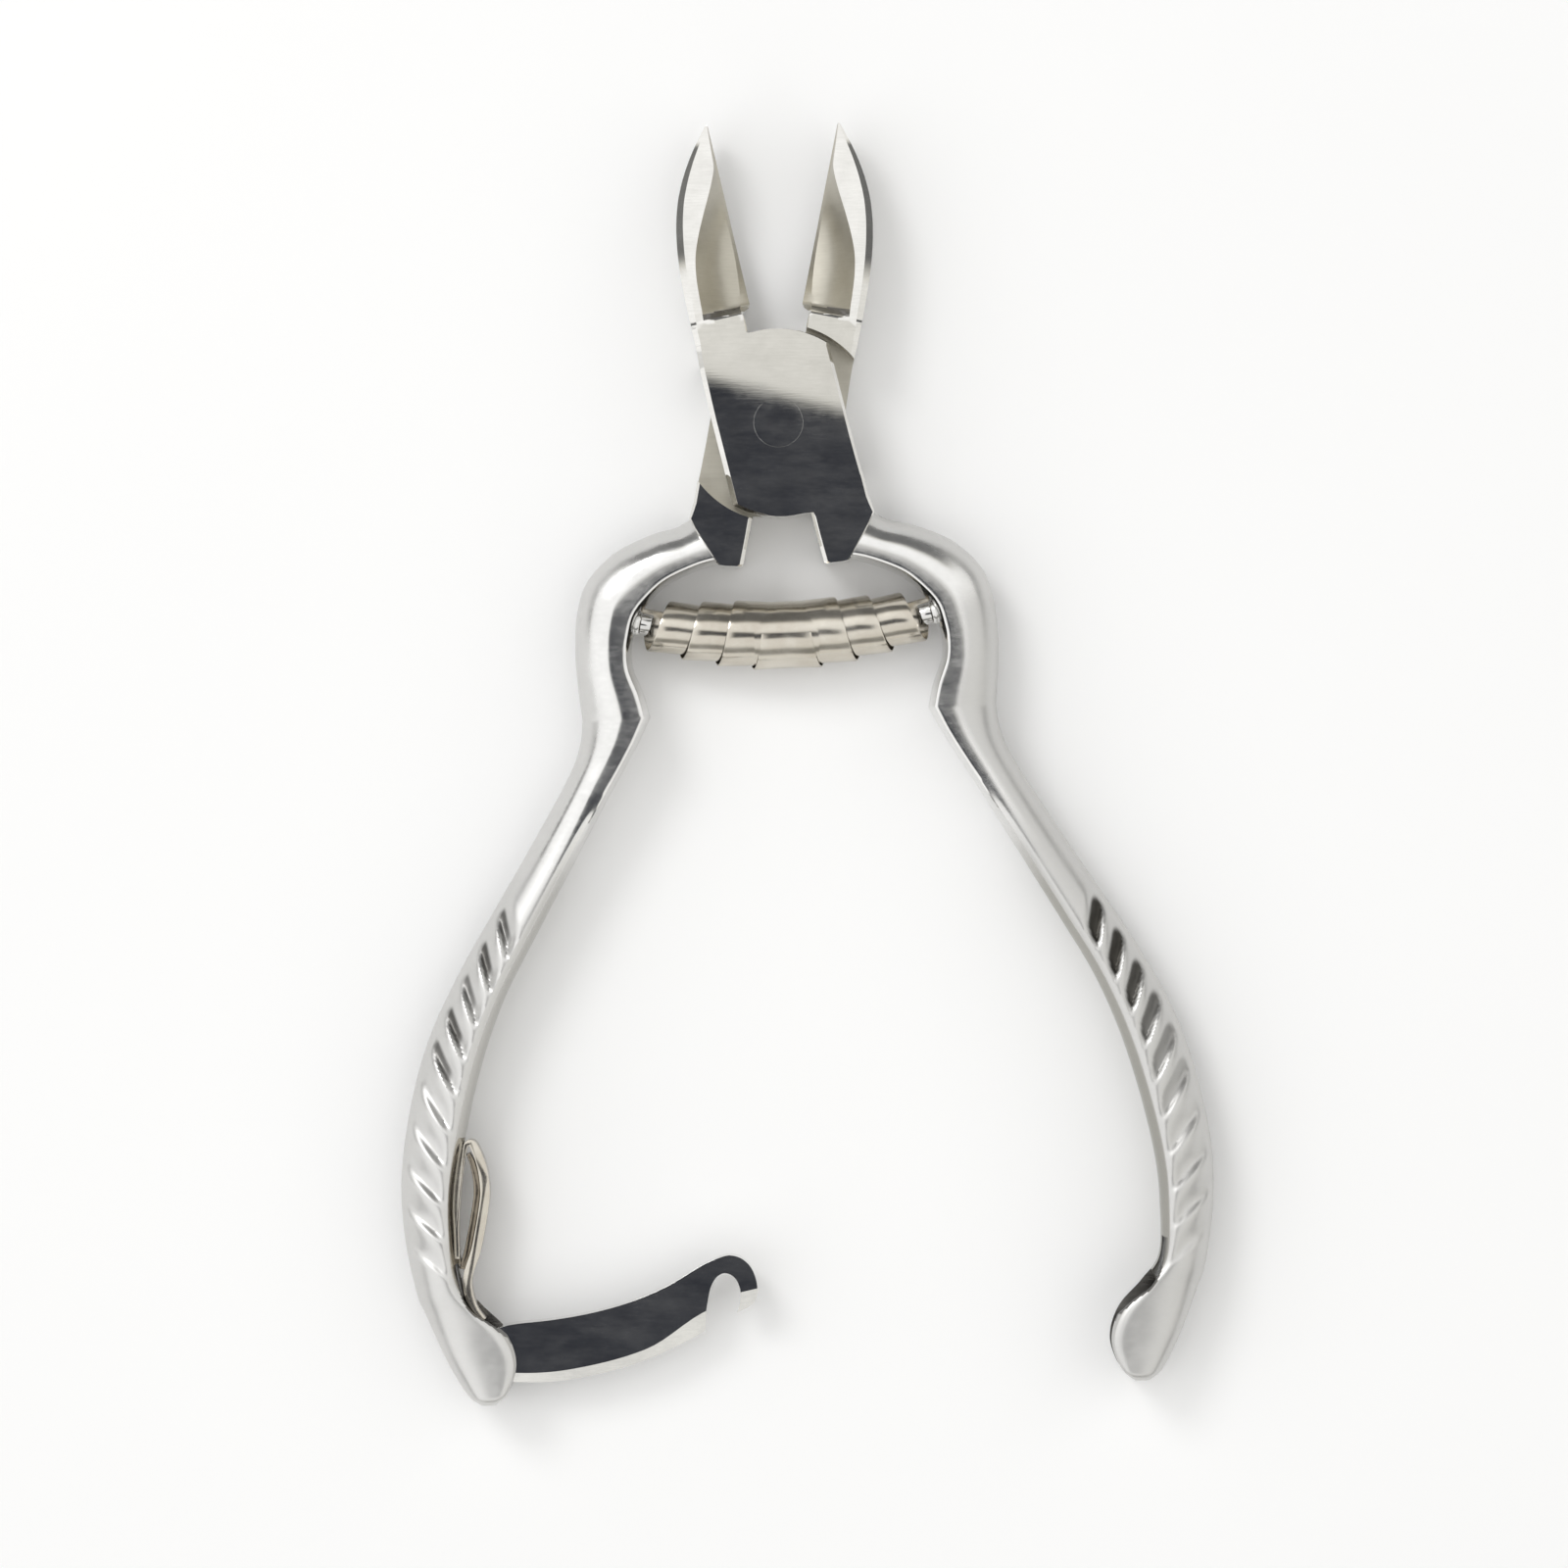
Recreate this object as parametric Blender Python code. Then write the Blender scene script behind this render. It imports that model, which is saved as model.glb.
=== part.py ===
"""Working model of a lap-jointed nail nipper with a barrel spring and a hook lock.

One lever is drawn once, closed, with its jaw on the left and its handle on the right. The
front lever uses it as drawn and the rear lever uses its mirror image. Each is then turned
about the pivot to its open place. The pivot axis is Z, the jaws point along +Y and the
underside of the joint is the plane z = 0.
"""
import math

import bmesh
import bpy
from mathutils import Matrix, Vector

MM = 0.001

# Overall sizes, in millimetres and degrees.
JAW_REACH = 32.5
HANDLE_REACH = 107.5
HANDLE_SPREAD = 25.9
THICKNESS = 8.4
HANDLE_RELIEF = 0.1
END_RELIEF = 0.4
FRONT_TURN = 14.3
REAR_TURN = 9.9
JAW_SET = 1.1

# Joint.
PLATE_RADIUS = 9.9
SHOULDER_CLEARANCE = 0.55
PLATE_HALF_WIDTH_JAW_SIDE = 6.7
PLATE_HALF_WIDTH_HANDLE_SIDE = 7.15
PLATE_GAP = 0.05
RIVET_RADIUS = 2.6
RIVET_FIT = 0.04

# Jaw.
JAW_WIDTH = 6.6
HEEL_HEIGHT = 12.8
HEEL_RELIEF = 1.0
HEEL_ROUNDING = 0.35
TIP_BLUNTING = 0.2
EDGE_GAP = 0.06
EDGE_HEIGHT = 3.6
EDGE_LAND = 0.5
TIP_LOW = 2.3
TIP_HIGH = 6.0
HOLLOW_RIM = 1.4
HOLLOW_DEPTH = 0.5
HOLLOW_CURVE = 1.8
HOLLOW_TIP_SHARE = 0.08
FOOT_ABOVE_HEEL = 0.7
FOOT_LEAN = 0.35
BACK_BEVEL = 2.6
TIP_SLOPE_START = 0.5

# Tail, between the joint and the arch.
TAIL_INNER = 1.0
TAIL_BOTTOM = 15.4
TAIL_CORNER = (0.5, 2.6)
TAIL_ROOT = (0.3, 1.9)
SIDE_SWELL = (0.25, 0.1, 0.15)
SIDE_SWELL_HEIGHT = 1.5

# Barrel spring and the posts that it sits on.
POST_DOWN = 0.137
POST_RADIUS = 1.15
POST_STAND = 1.7
POST_ROOT = 2.4
POST_FIT = 0.05
SPRING_GAP = 0.9
SPRING_TURNS = 8.0
SPRING_END_RADIUS = 2.45
SPRING_MIDDLE_RADIUS = 3.65
STRIP_THICKNESS = 0.35
STRIP_SHARE = 0.78

# Hook lock.
LOCK_THICKNESS = 3.3
SLOT_CLEARANCE = 0.15
LOCK_PIVOT = (0.502 * HANDLE_SPREAD, HANDLE_REACH - 5.2)
LOCK_EYE_RADIUS = 2.6
LOCK_PIN_RADIUS = 1.1
CATCH_PIN = (0.490 * HANDLE_SPREAD, HANDLE_REACH - 6.1)
CATCH_RADIUS = 0.9
PIN_FIT = 0.04
PIN_INSET = 0.25
EYE_CLEARANCE = 0.2
SLOT_FLOOR_DROP = 1.5
HOOK_EASE = 0.1
HOOK_REACH = LOCK_PIVOT[0] + CATCH_PIN[0] + HOOK_EASE
NOTCH_HALF_WIDTH = 1.6
NOTCH_TOP = 2.3
NOTCH_CROWN = 1.9
NOTCH_LEAN = 0.35
HOOK_WALL = 2.0
LOCK_OPEN_ANGLE = 23.0

# Edges of the lock about its pin with the notch on +X: share of HOOK_REACH, height.
LOCK_LOWER_EDGE = (
    (0.101, -3.7), (0.30, -4.7), (0.46, -4.95), (0.64, -4.7), (0.80, -3.9), (0.899, -3.2),
)
LOCK_UPPER_EDGE = (
    (1.116, 2.9), (1.085, 3.9), (1.031, 4.2), (0.930, 3.7), (0.80, 2.4), (0.62, 1.5),
    (0.46, 1.3), (0.30, 1.6), (0.093, 2.6),
)
# Mouth and barb of the notch: distance from the notch's wall, height.
NOTCH_MOUTH = ((-0.4, -2.0), (0.0, -0.6))
NOTCH_BARB = ((0.25, -1.1), (-0.35, -2.2), (1.5, -1.5), (HOOK_WALL, 0.2))

# Slots in the two ends. The lock's slot follows its eye between two angles in degrees, then
# widens to the corners, as distances from the lock's pin. The catch slot's floor is given from
# the far end of the hook's swing and from the catch.
EYE_SLOT_ANGLES = (60.0, -90.0)
EYE_SLOT_FLOOR = 2.0
EYE_SLOT_TOP = 6.0
EYE_SLOT_CORNERS = ((4.8, LOCK_EYE_RADIUS + EYE_SLOT_TOP), (3.6, 5.0))
CATCH_FLOOR_START = 4.2
CATCH_FLOOR = ((-7.4, -3.8), (-3.5, -2.9), (-1.6, -2.6))
CATCH_SWING = 20.0

# Lock spring, a folded leaf held in the handle slot.
LEAF_THICKNESS = 1.2
LEAF_WIDTH = 3.0
LEAF_TOP = 21.8
LEAF_GAP = 0.2
LEAF_BOW = 3.3
LEAF_BOTTOM = 8.4
# Middle line of the bowed leg: from the fold, then its foot from the lock's pin.
LEAF_BOW_LINE = (
    (-0.35, 0.7), (-1.3, 0.5), (-0.85 * LEAF_BOW, -2.6), (-LEAF_BOW, -6.0), (-0.93 * LEAF_BOW, -10.0),
)
LEAF_FOOT = ((2.6, 6.2), (1.3, 3.9))

FACETS = 48
HANDLE_STEPS = 3

MIDDLE = THICKNESS / 2

# Edges of the arch and handle, outer point then inner point, from the joint to the end. Each
# number is a share: across of HANDLE_SPREAD, down of the way from the joint to HANDLE_REACH.
HANDLE_EDGES = (
    (0.282, 0.015, 0.116, 0.056),
    (0.340, 0.028, 0.216, 0.068),
    (0.440, 0.041, 0.336, 0.091),
    (0.571, 0.067, 0.400, 0.115),
    (0.658, 0.102, 0.429, 0.133),
    (0.676, 0.139, 0.434, 0.153),
    (0.656, 0.180, 0.431, 0.168),
    (0.629, 0.209, 0.409, 0.188),
    (0.598, 0.236, 0.351, 0.212),
    (0.579, 0.253, 0.309, 0.235),
    (0.573, 0.282, 0.344, 0.269),
    (0.602, 0.319, 0.425, 0.332),
    (0.710, 0.403, 0.533, 0.421),
    (0.807, 0.474, 0.622, 0.495),
    (0.900, 0.544, 0.695, 0.559),
    (0.973, 0.618, 0.739, 0.626),
    (1.000, 0.693, 0.757, 0.698),
    (0.988, 0.770, 0.753, 0.767),
    (0.934, 0.833, 0.726, 0.817),
    (0.846, 0.892, 0.672, 0.870),
    (0.788, 0.916, 0.575, 0.894),
    (0.722, 0.942, 0.459, 0.916),
    (0.649, 0.968, 0.394, 0.946),
    (0.568, 0.991, 0.402, 0.978),
    (0.510, 0.999, 0.444, 0.995),
)
ARCH_CORNER = 9

# Where the handle's faces step back to the end's lower faces, as shares of HANDLE_REACH, and the
# share of the thickness that is left in the last three sections.
RELIEF_START = 0.85
RELIEF_LENGTH = 0.08
END_ROUNDING = (0.84, 0.72, 0.60)

# Upper half of the handle's section: share of the width from the inner edge, share of the
# half thickness.
HANDLE_SECTION = (
    (0.00, 0.60), (0.08, 0.93), (0.20, 1.00), (0.42, 0.95), (0.66, 0.78), (0.86, 0.50), (0.97, 0.20),
)

# Outer edge of the jaw: share of JAW_WIDTH, share of the way from the heel to the tip.
JAW_EDGE = (
    (1.000, 0.00), (0.985, 0.20), (0.935, 0.37), (0.860, 0.51), (0.745, 0.635), (0.580, 0.75),
    (0.385, 0.855), (0.175, 0.94), (0.020, 1.00),
)

# Sections of the jaw's slopes, as shares of the way from foot to tip, and how far a cutter
# stands clear of the faces that it cuts.
SLOPE_SECTIONS = (0.0, 0.25, 0.45, 0.62, 0.78, 0.92, 1.15)
CLEAR = 2.0


def clear_scene():
    for item in list(bpy.data.objects):
        bpy.data.objects.remove(item)


def metal(name, colour, roughness):
    """A metal with one colour and one roughness."""
    made = bpy.data.materials.new(name)
    made.use_nodes = True
    shader = made.node_tree.nodes["Principled BSDF"]
    shader.inputs["Base Color"].default_value = (*colour, 1.0)
    shader.inputs["Metallic"].default_value = 1.0
    shader.inputs["Roughness"].default_value = roughness
    made.diffuse_color = (*colour, 1.0)
    return made


def add_object(name, bm, material=None, turn=0.0, place=(0.0, 0.0), smooth=None):
    """Makes an object of a mesh drawn in millimetres, turned about Z and moved in the plane."""
    bmesh.ops.recalc_face_normals(bm, faces=bm.faces[:])
    bmesh.ops.scale(bm, vec=(MM, MM, MM), verts=bm.verts[:])
    mesh = bpy.data.meshes.new(name)
    bm.to_mesh(mesh)
    bm.free()
    if smooth is not None:
        mesh.shade_smooth()
        mesh.set_sharp_from_angle(angle=math.radians(smooth))
    made = bpy.data.objects.new(name, mesh)
    bpy.context.scene.collection.objects.link(made)
    made.location = (place[0] * MM, place[1] * MM, 0.0)
    made.rotation_euler = (0.0, 0.0, math.radians(turn))
    if material:
        mesh.materials.append(material)
    else:
        made.hide_render = True
        made.display_type = "WIRE"
    return made


def combine(target, operation, other):
    step = target.modifiers.new(f"{operation.lower()} {other.name}", "BOOLEAN")
    step.operation = operation
    step.solver = "EXACT"
    step.object = other


def prism(outline, low, high):
    """A solid with one outline from the height low to the height high."""
    bm = bmesh.new()
    face = bm.faces.new([bm.verts.new((x, y, low)) for x, y in outline])
    top = bmesh.ops.extrude_face_region(bm, geom=[face])["geom"]
    lifted = [item for item in top if isinstance(item, bmesh.types.BMVert)]
    bmesh.ops.translate(bm, vec=(0.0, 0.0, high - low), verts=lifted)
    return bm


def loft(rings):
    """A solid whose skin passes through the rings, which all have as many points."""
    bm = bmesh.new()
    ring = [bm.verts.new(point) for point in rings[0]]
    bm.faces.new(ring)
    for points in rings[1:]:
        edges = [bm.edges.get((ring[i - 1], ring[i])) for i in range(len(ring))]
        grown = bmesh.ops.extrude_edge_only(bm, edges=edges)["geom"]
        new = [item for item in grown if isinstance(item, bmesh.types.BMVert)]
        ring = [min(new, key=lambda vert: (vert.co - old.co).length) for old in ring]
        for vert, point in zip(ring, points):
            vert.co = point
    bm.faces.new(ring)
    return bm


def cylinder(radius, low, high, place=(0.0, 0.0)):
    bm = bmesh.new()
    bmesh.ops.create_cone(
        bm, cap_ends=True, segments=FACETS, radius1=radius, radius2=radius, depth=high - low,
        matrix=Matrix.Translation((place[0], place[1], (low + high) / 2)),
    )
    return bm


def rod(radius, start, end):
    """A round bar between two points."""
    line = Vector(end) - Vector(start)
    turned = Vector((0, 0, 1)).rotation_difference(line).to_matrix().to_4x4()
    bm = bmesh.new()
    bmesh.ops.create_cone(
        bm, cap_ends=True, segments=FACETS // 2, radius1=radius, radius2=radius, depth=line.length,
        matrix=Matrix.Translation((Vector(start) + Vector(end)) / 2) @ turned,
    )
    return bm


def smooth_line(points, steps):
    """A smooth curve through the points, with as many steps between each pair."""
    ends = [2 * points[0] - points[1], *points, 2 * points[-1] - points[-2]]
    line = []
    for i in range(1, len(ends) - 2):
        a, b, c, d = ends[i - 1 : i + 3]
        for step in range(steps):
            t = step / steps
            bend = (2 * a - 5 * b + 4 * c - d) * t * t + (3 * b - a - 3 * c + d) * t ** 3
            line.append((2 * b + (c - a) * t + bend) / 2)
    return [*line, points[-1]]


def arc(radius, first, last, steps):
    """Points round the pivot, between two angles in degrees from +X."""
    angles = [math.radians(first + (last - first) * i / steps) for i in range(steps + 1)]
    return [(radius * math.cos(angle), radius * math.sin(angle)) for angle in angles]


def turned(point, degrees):
    angle = math.radians(degrees)
    x, y = point
    return (x * math.cos(angle) - y * math.sin(angle), x * math.sin(angle) + y * math.cos(angle))


def handle_edges():
    """The outer and the inner edge of arch and handle, in millimetres."""
    drop = HANDLE_REACH - PLATE_RADIUS
    outer = [Vector((row[0] * HANDLE_SPREAD, -PLATE_RADIUS - row[1] * drop)) for row in HANDLE_EDGES]
    inner = [Vector((row[2] * HANDLE_SPREAD, -PLATE_RADIUS - row[3] * drop)) for row in HANDLE_EDGES]
    before = smooth_line(inner[: ARCH_CORNER + 1], HANDLE_STEPS)
    after = smooth_line(inner[ARCH_CORNER:], HANDLE_STEPS)
    return smooth_line(outer, HANDLE_STEPS), before + after[1:]


def handle_body():
    outer, inner = handle_edges()
    rings = []
    for step, (out, into) in enumerate(zip(outer, inner)):
        along = min(1.0, max(0.0, (-out.y / HANDLE_REACH - RELIEF_START) / RELIEF_LENGTH))
        half = MIDDLE - HANDLE_RELIEF - (END_RELIEF - HANDLE_RELIEF) * along
        if step >= len(outer) - len(END_ROUNDING):
            half *= END_ROUNDING[step - len(outer)]
        upper = [(into.lerp(out, share), half * height) for share, height in HANDLE_SECTION]
        ring = [(point.x, point.y, MIDDLE + rise) for point, rise in upper]
        ring.append((out.x, out.y, MIDDLE))
        ring += [(point.x, point.y, MIDDLE - rise) for point, rise in reversed(upper)]
        rings.append(ring)
    return loft(rings)


def jaw_edge():
    """The outer edge of the jaw from heel to tip, before the jaw's set."""
    rise = JAW_REACH - HEEL_HEIGHT
    points = [Vector((-across * JAW_WIDTH, HEEL_HEIGHT + up * rise)) for across, up in JAW_EDGE]
    return smooth_line(points, 2)


def lever_outline(side):
    """Joint plate, jaw and tail of a lever as drawn, counter-clockwise from the plate's right."""
    jaw = [(-EDGE_GAP, JAW_REACH - TIP_BLUNTING)]
    jaw += [(min(point.x, -EDGE_GAP), point.y) for point in reversed(jaw_edge())]
    heel = [(-HEEL_RELIEF, HEEL_HEIGHT - HEEL_ROUNDING), (-EDGE_GAP, HEEL_HEIGHT)]
    jaw = [turned(point, -side * JAW_SET) for point in heel + jaw]
    swell_end, swell_top, swell_low = SIDE_SWELL
    right = math.degrees(math.acos(PLATE_HALF_WIDTH_HANDLE_SIDE / PLATE_RADIUS))
    top = math.degrees(math.acos(-HEEL_RELIEF / PLATE_RADIUS))
    left = math.degrees(math.acos(-(PLATE_HALF_WIDTH_JAW_SIDE - swell_end) / PLATE_RADIUS))
    tail = math.degrees(math.acos(TAIL_INNER / PLATE_RADIUS))
    side_edge = [(-PLATE_HALF_WIDTH_JAW_SIDE - swell_top, PLATE_HALF_WIDTH_JAW_SIDE)]
    side_edge += [(-PLATE_HALF_WIDTH_JAW_SIDE - swell_low, SIDE_SWELL_HEIGHT)]
    bottom = [(TAIL_INNER, -TAIL_BOTTOM + TAIL_CORNER[0]), (TAIL_INNER + TAIL_CORNER[1], -TAIL_BOTTOM)]
    bottom += [(PLATE_HALF_WIDTH_HANDLE_SIDE + TAIL_ROOT[0], -PLATE_RADIUS - TAIL_ROOT[1])]
    plate = arc(PLATE_RADIUS, right, top, 8)
    return plate + jaw + side_edge + arc(PLATE_RADIUS, 360 - left, 360 - tail, 8) + bottom


def flipped(bm, side):
    """The mesh itself for the front lever, its mirror image for the rear lever."""
    bmesh.ops.scale(bm, vec=(side, 1.0, 1.0), verts=bm.verts[:])
    return bm


def jaw_slope(side, face, edge, rim, depth):
    """Cuts a slope from a rim inside the jaw's outer edge to its cutting edge.

    face is the height of the jaw's flat face, edge the height left at the cutting edge, rim the
    distance of the slope's start from the pivot line, and depth how far it has sunk at the rim.
    """
    away = CLEAR if face > edge else -CLEAR
    sunk = -depth if face > edge else depth
    foot = HEEL_HEIGHT + FOOT_ABOVE_HEEL
    rings = []
    for share in SLOPE_SECTIONS:
        start = -rim * max(HOLLOW_TIP_SHARE, 1.0 - share ** HOLLOW_CURVE)
        y = foot + share * (JAW_REACH - foot)
        lean = FOOT_LEAN if share == 0.0 else 0.0
        rings.append([
            (start, y, face + sunk), (start, y + lean, face + away), (CLEAR, y + lean, face + away),
            (CLEAR, y, edge), (0.0, y, edge),
        ])
    bm = loft(rings)
    set_turn = Matrix.Rotation(math.radians(-side * JAW_SET), 3, "Z")
    bmesh.ops.rotate(bm, cent=(0, 0, 0), matrix=set_turn, verts=bm.verts[:])
    return flipped(bm, side)


def tip_slope(side, face, tip):
    """Cuts the long slope that thins the jaw towards its tip, in side view."""
    away = CLEAR if face > tip else -CLEAR
    start = HEEL_HEIGHT + TIP_SLOPE_START * (JAW_REACH - HEEL_HEIGHT)
    fall = (tip - face) / (JAW_REACH - start)
    end = JAW_REACH + CLEAR
    corners = [
        (start, face), (end, face + fall * (end - start)), (end, face + away), (start, face + away),
    ]
    rings = [[(x, y, z) for y, z in corners] for x in (-JAW_WIDTH - CLEAR, CLEAR)]
    return flipped(loft(rings), side)


def slot_heights():
    half = LOCK_THICKNESS / 2 + SLOT_CLEARANCE
    return MIDDLE - half, MIDDLE + half


def lock_slot():
    """Room in the rear lever's end for the lock's eye and its swing, as drawn."""
    low, high = slot_heights()
    x, y = LOCK_PIVOT
    radius = LOCK_EYE_RADIUS + EYE_CLEARANCE
    first, last = EYE_SLOT_ANGLES
    angles = [math.radians(first + (last - first) * i / 14) for i in range(15)]
    outline = [(x + radius * math.cos(angle), -y + radius * math.sin(angle)) for angle in angles]
    floor = -y - radius - SLOT_FLOOR_DROP
    top = -y + LOCK_EYE_RADIUS + EYE_SLOT_TOP
    outline += [(x - EYE_SLOT_FLOOR, floor), (0.0, floor), (0.0, top)]
    outline += [(x + across, -y + up) for across, up in EYE_SLOT_CORNERS]
    return prism(outline, low, high)


def catch_slot():
    """Room in the front lever's end for the hook as it swings in, as drawn."""
    low, high = slot_heights()
    x, y = -LOCK_PIVOT[0], -LOCK_PIVOT[1]
    reach = HOOK_REACH + NOTCH_HALF_WIDTH + HOOK_WALL + 2 * EYE_CLEARANCE
    outline = [(0.0, y - CATCH_FLOOR_START)]
    outline += [(x + reach + across, y + up) for across, up in CATCH_FLOOR]
    for i in range(12):
        angle = math.radians(CATCH_SWING * i / 11)
        outline.append((x + reach * math.cos(angle), y + reach * math.sin(angle)))
    outline.append((0.0, outline[-1][1]))
    return prism(outline, low, high)


def post_line():
    """Root and tip of a spring post as drawn, and the arch face that it stands on."""
    outer, inner = handle_edges()
    height = -PLATE_RADIUS - POST_DOWN * (HANDLE_REACH - PLATE_RADIUS)
    face = min(inner[: ARCH_CORNER * HANDLE_STEPS], key=lambda point: abs(point.y - height)).x
    return (face + POST_ROOT, height, MIDDLE), (face - POST_STAND, height, MIDDLE)


def lever(name, side, turn, material):
    """One lever: jaw, half the joint's thickness, arch, handle and slotted end, in one piece."""
    body = add_object(
        name, flipped(prism(lever_outline(side), 0.0, THICKNESS), side), material, turn, smooth=32
    )
    half = MIDDLE + side * PLATE_GAP / 2
    low, high = (-CLEAR, half) if side > 0 else (half, THICKNESS + CLEAR)
    recess = cylinder(PLATE_RADIUS + SHOULDER_CLEARANCE, low, high)
    combine(body, "DIFFERENCE", add_object(f"{name}_joint_recess", recess, turn=turn))
    hollow_edge, hollow_rim = EDGE_HEIGHT + EDGE_LAND, JAW_WIDTH - HOLLOW_RIM
    root, tip = post_line()
    post_hole = rod(POST_RADIUS + POST_FIT, (root[0] + POST_FIT, *root[1:]), tip)
    pin_place, pin_radius = (CATCH_PIN, CATCH_RADIUS) if side > 0 else (LOCK_PIVOT, LOCK_PIN_RADIUS)
    pin_hole = cylinder(
        pin_radius + PIN_FIT, -CLEAR, THICKNESS + CLEAR, (side * pin_place[0], -pin_place[1])
    )
    shapes = (
        ("handle", "UNION", flipped(handle_body(), side)),
        ("hollow", "DIFFERENCE", jaw_slope(side, THICKNESS, hollow_edge, hollow_rim, HOLLOW_DEPTH)),
        ("back_bevel", "DIFFERENCE", jaw_slope(side, 0.0, EDGE_HEIGHT, BACK_BEVEL, 0.0)),
        ("tip_top", "DIFFERENCE", tip_slope(side, THICKNESS, TIP_HIGH)),
        ("tip_underside", "DIFFERENCE", tip_slope(side, 0.0, TIP_LOW)),
        ("rivet_hole", "DIFFERENCE", cylinder(RIVET_RADIUS + RIVET_FIT, -CLEAR, THICKNESS + CLEAR)),
        ("post_hole", "DIFFERENCE", flipped(post_hole, side)),
        ("end_slot", "DIFFERENCE", flipped(catch_slot() if side > 0 else lock_slot(), side)),
        ("pin_hole", "DIFFERENCE", pin_hole),
    )
    for key, operation, bm in shapes:
        combine(body, operation, add_object(f"{name}_{key}", bm, turn=turn))
    return body


def world(point, side):
    """Where a point of a lever as drawn lies when the nipper is open."""
    return turned((side * point[0], point[1]), FRONT_TURN if side > 0 else -REAR_TURN)


def spring_post(name, side, material):
    root, tip = post_line()
    turn = FRONT_TURN if side > 0 else -REAR_TURN
    add_object(name, flipped(rod(POST_RADIUS, root, tip), side), material, turn, smooth=40)


def spring_middle_line(steps):
    """The coil's centre line: from one post to the other, bowed because the posts lean down."""
    root, tip = post_line()
    ends = []
    for side in (-1, 1):
        face = (tip[0] + POST_STAND - SPRING_GAP, tip[1])
        start = Vector(world(face, side))
        lean = (Vector(world(tip[:2], side)) - Vector(world(root[:2], side))).normalized()
        ends.append((start, lean))
    (a, lean_a), (d, lean_d) = ends
    third = (d - a).length / 3
    b, c = a + lean_a * third, d + lean_d * third
    line = []
    for i in range(steps + 1):
        t = i / steps
        line.append(a * (1 - t) ** 3 + b * 3 * t * (1 - t) ** 2 + c * 3 * t * t * (1 - t) + d * t ** 3)
    return line


def barrel_spring(name, material):
    """A flat strip wound into a barrel: small turns on the posts, the largest in the middle."""
    per_turn = 18
    steps = int(SPRING_TURNS * per_turn)
    line = spring_middle_line(steps)
    length = sum((line[i + 1] - line[i]).length for i in range(steps))
    width = length / (SPRING_TURNS + STRIP_SHARE) * STRIP_SHARE
    rings = []
    for i in range(steps + 1):
        back, ahead = line[max(0, i - 1)], line[min(steps, i + 1)]
        along = Vector((*(ahead - back).normalized(), 0.0))
        across = Vector((-along.y, along.x, 0.0))
        bulge = math.sin(math.pi * i / steps) ** 0.8
        radius = SPRING_END_RADIUS + (SPRING_MIDDLE_RADIUS - SPRING_END_RADIUS) * bulge
        angle = 2 * math.pi * i / per_turn
        out = across * math.cos(angle) + Vector((0.0, 0.0, 1.0)) * math.sin(angle)
        shift = length / (SPRING_TURNS + STRIP_SHARE) * (STRIP_SHARE / 2 + SPRING_TURNS * i / steps)
        centre = along_line(line, shift / length)
        middle = Vector((centre.x, centre.y, MIDDLE))
        ring = []
        for a, r in ((-0.5, 0.0), (0.5, 0.0), (0.5, -1.0), (-0.5, -1.0)):
            ring.append(middle + along * (a * width) + out * (radius + r * STRIP_THICKNESS))
        rings.append(ring)
    add_object(name, loft(rings), material, smooth=40)


def along_line(line, share):
    """The point at a share of a line of evenly spaced points."""
    place = min(max(share, 0.0), 1.0) * (len(line) - 1)
    i = min(int(place), len(line) - 2)
    return line[i].lerp(line[i + 1], place - i)


def lock_lever(name, material):
    """The hook lock, drawn about its pin with the notch on +X, then turned to its open place."""
    eye_angles = [math.radians(100 + 150 * i / 12) for i in range(13)]
    eye = [(LOCK_EYE_RADIUS * math.cos(a), LOCK_EYE_RADIUS * math.sin(a)) for a in eye_angles]
    lower = [Vector((share * HOOK_REACH, height)) for share, height in LOCK_LOWER_EDGE]
    upper = [Vector((share * HOOK_REACH, height)) for share, height in LOCK_UPPER_EDGE]
    near, far = HOOK_REACH - NOTCH_HALF_WIDTH, HOOK_REACH + NOTCH_HALF_WIDTH
    mouth = [(near + across, height) for across, height in NOTCH_MOUTH]
    crown = []
    for i in range(11):
        angle = math.radians(180 - 180 * i / 10)
        across = HOOK_REACH + NOTCH_LEAN + (NOTCH_HALF_WIDTH + NOTCH_LEAN) * math.cos(angle)
        crown.append((across, NOTCH_TOP - NOTCH_CROWN * (1.0 - math.sin(angle))))
    barb = [(far + across, height) for across, height in NOTCH_BARB]
    outline = eye + [tuple(p) for p in smooth_line(lower, 3)] + mouth + crown + barb
    outline += [tuple(p) for p in smooth_line(upper, 3)]
    low, high = MIDDLE - LOCK_THICKNESS / 2, MIDDLE + LOCK_THICKNESS / 2
    x, y = world((LOCK_PIVOT[0], -LOCK_PIVOT[1]), -1)
    body = add_object(name, prism(outline, low, high), material, LOCK_OPEN_ANGLE - REAR_TURN, (x, y))
    hole = add_object(f"{name}_hole", cylinder(LOCK_PIN_RADIUS + PIN_FIT, 0.0, THICKNESS), place=(x, y))
    combine(body, "DIFFERENCE", hole)


def cross_pin(name, side, place, radius, material):
    """A pin through both cheeks of a slotted end, just below their faces."""
    inset = END_RELIEF + PIN_INSET
    bm = cylinder(radius, inset, THICKNESS - inset, (side * place[0], -place[1]))
    add_object(name, bm, material, FRONT_TURN if side > 0 else -REAR_TURN, smooth=40)


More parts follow.
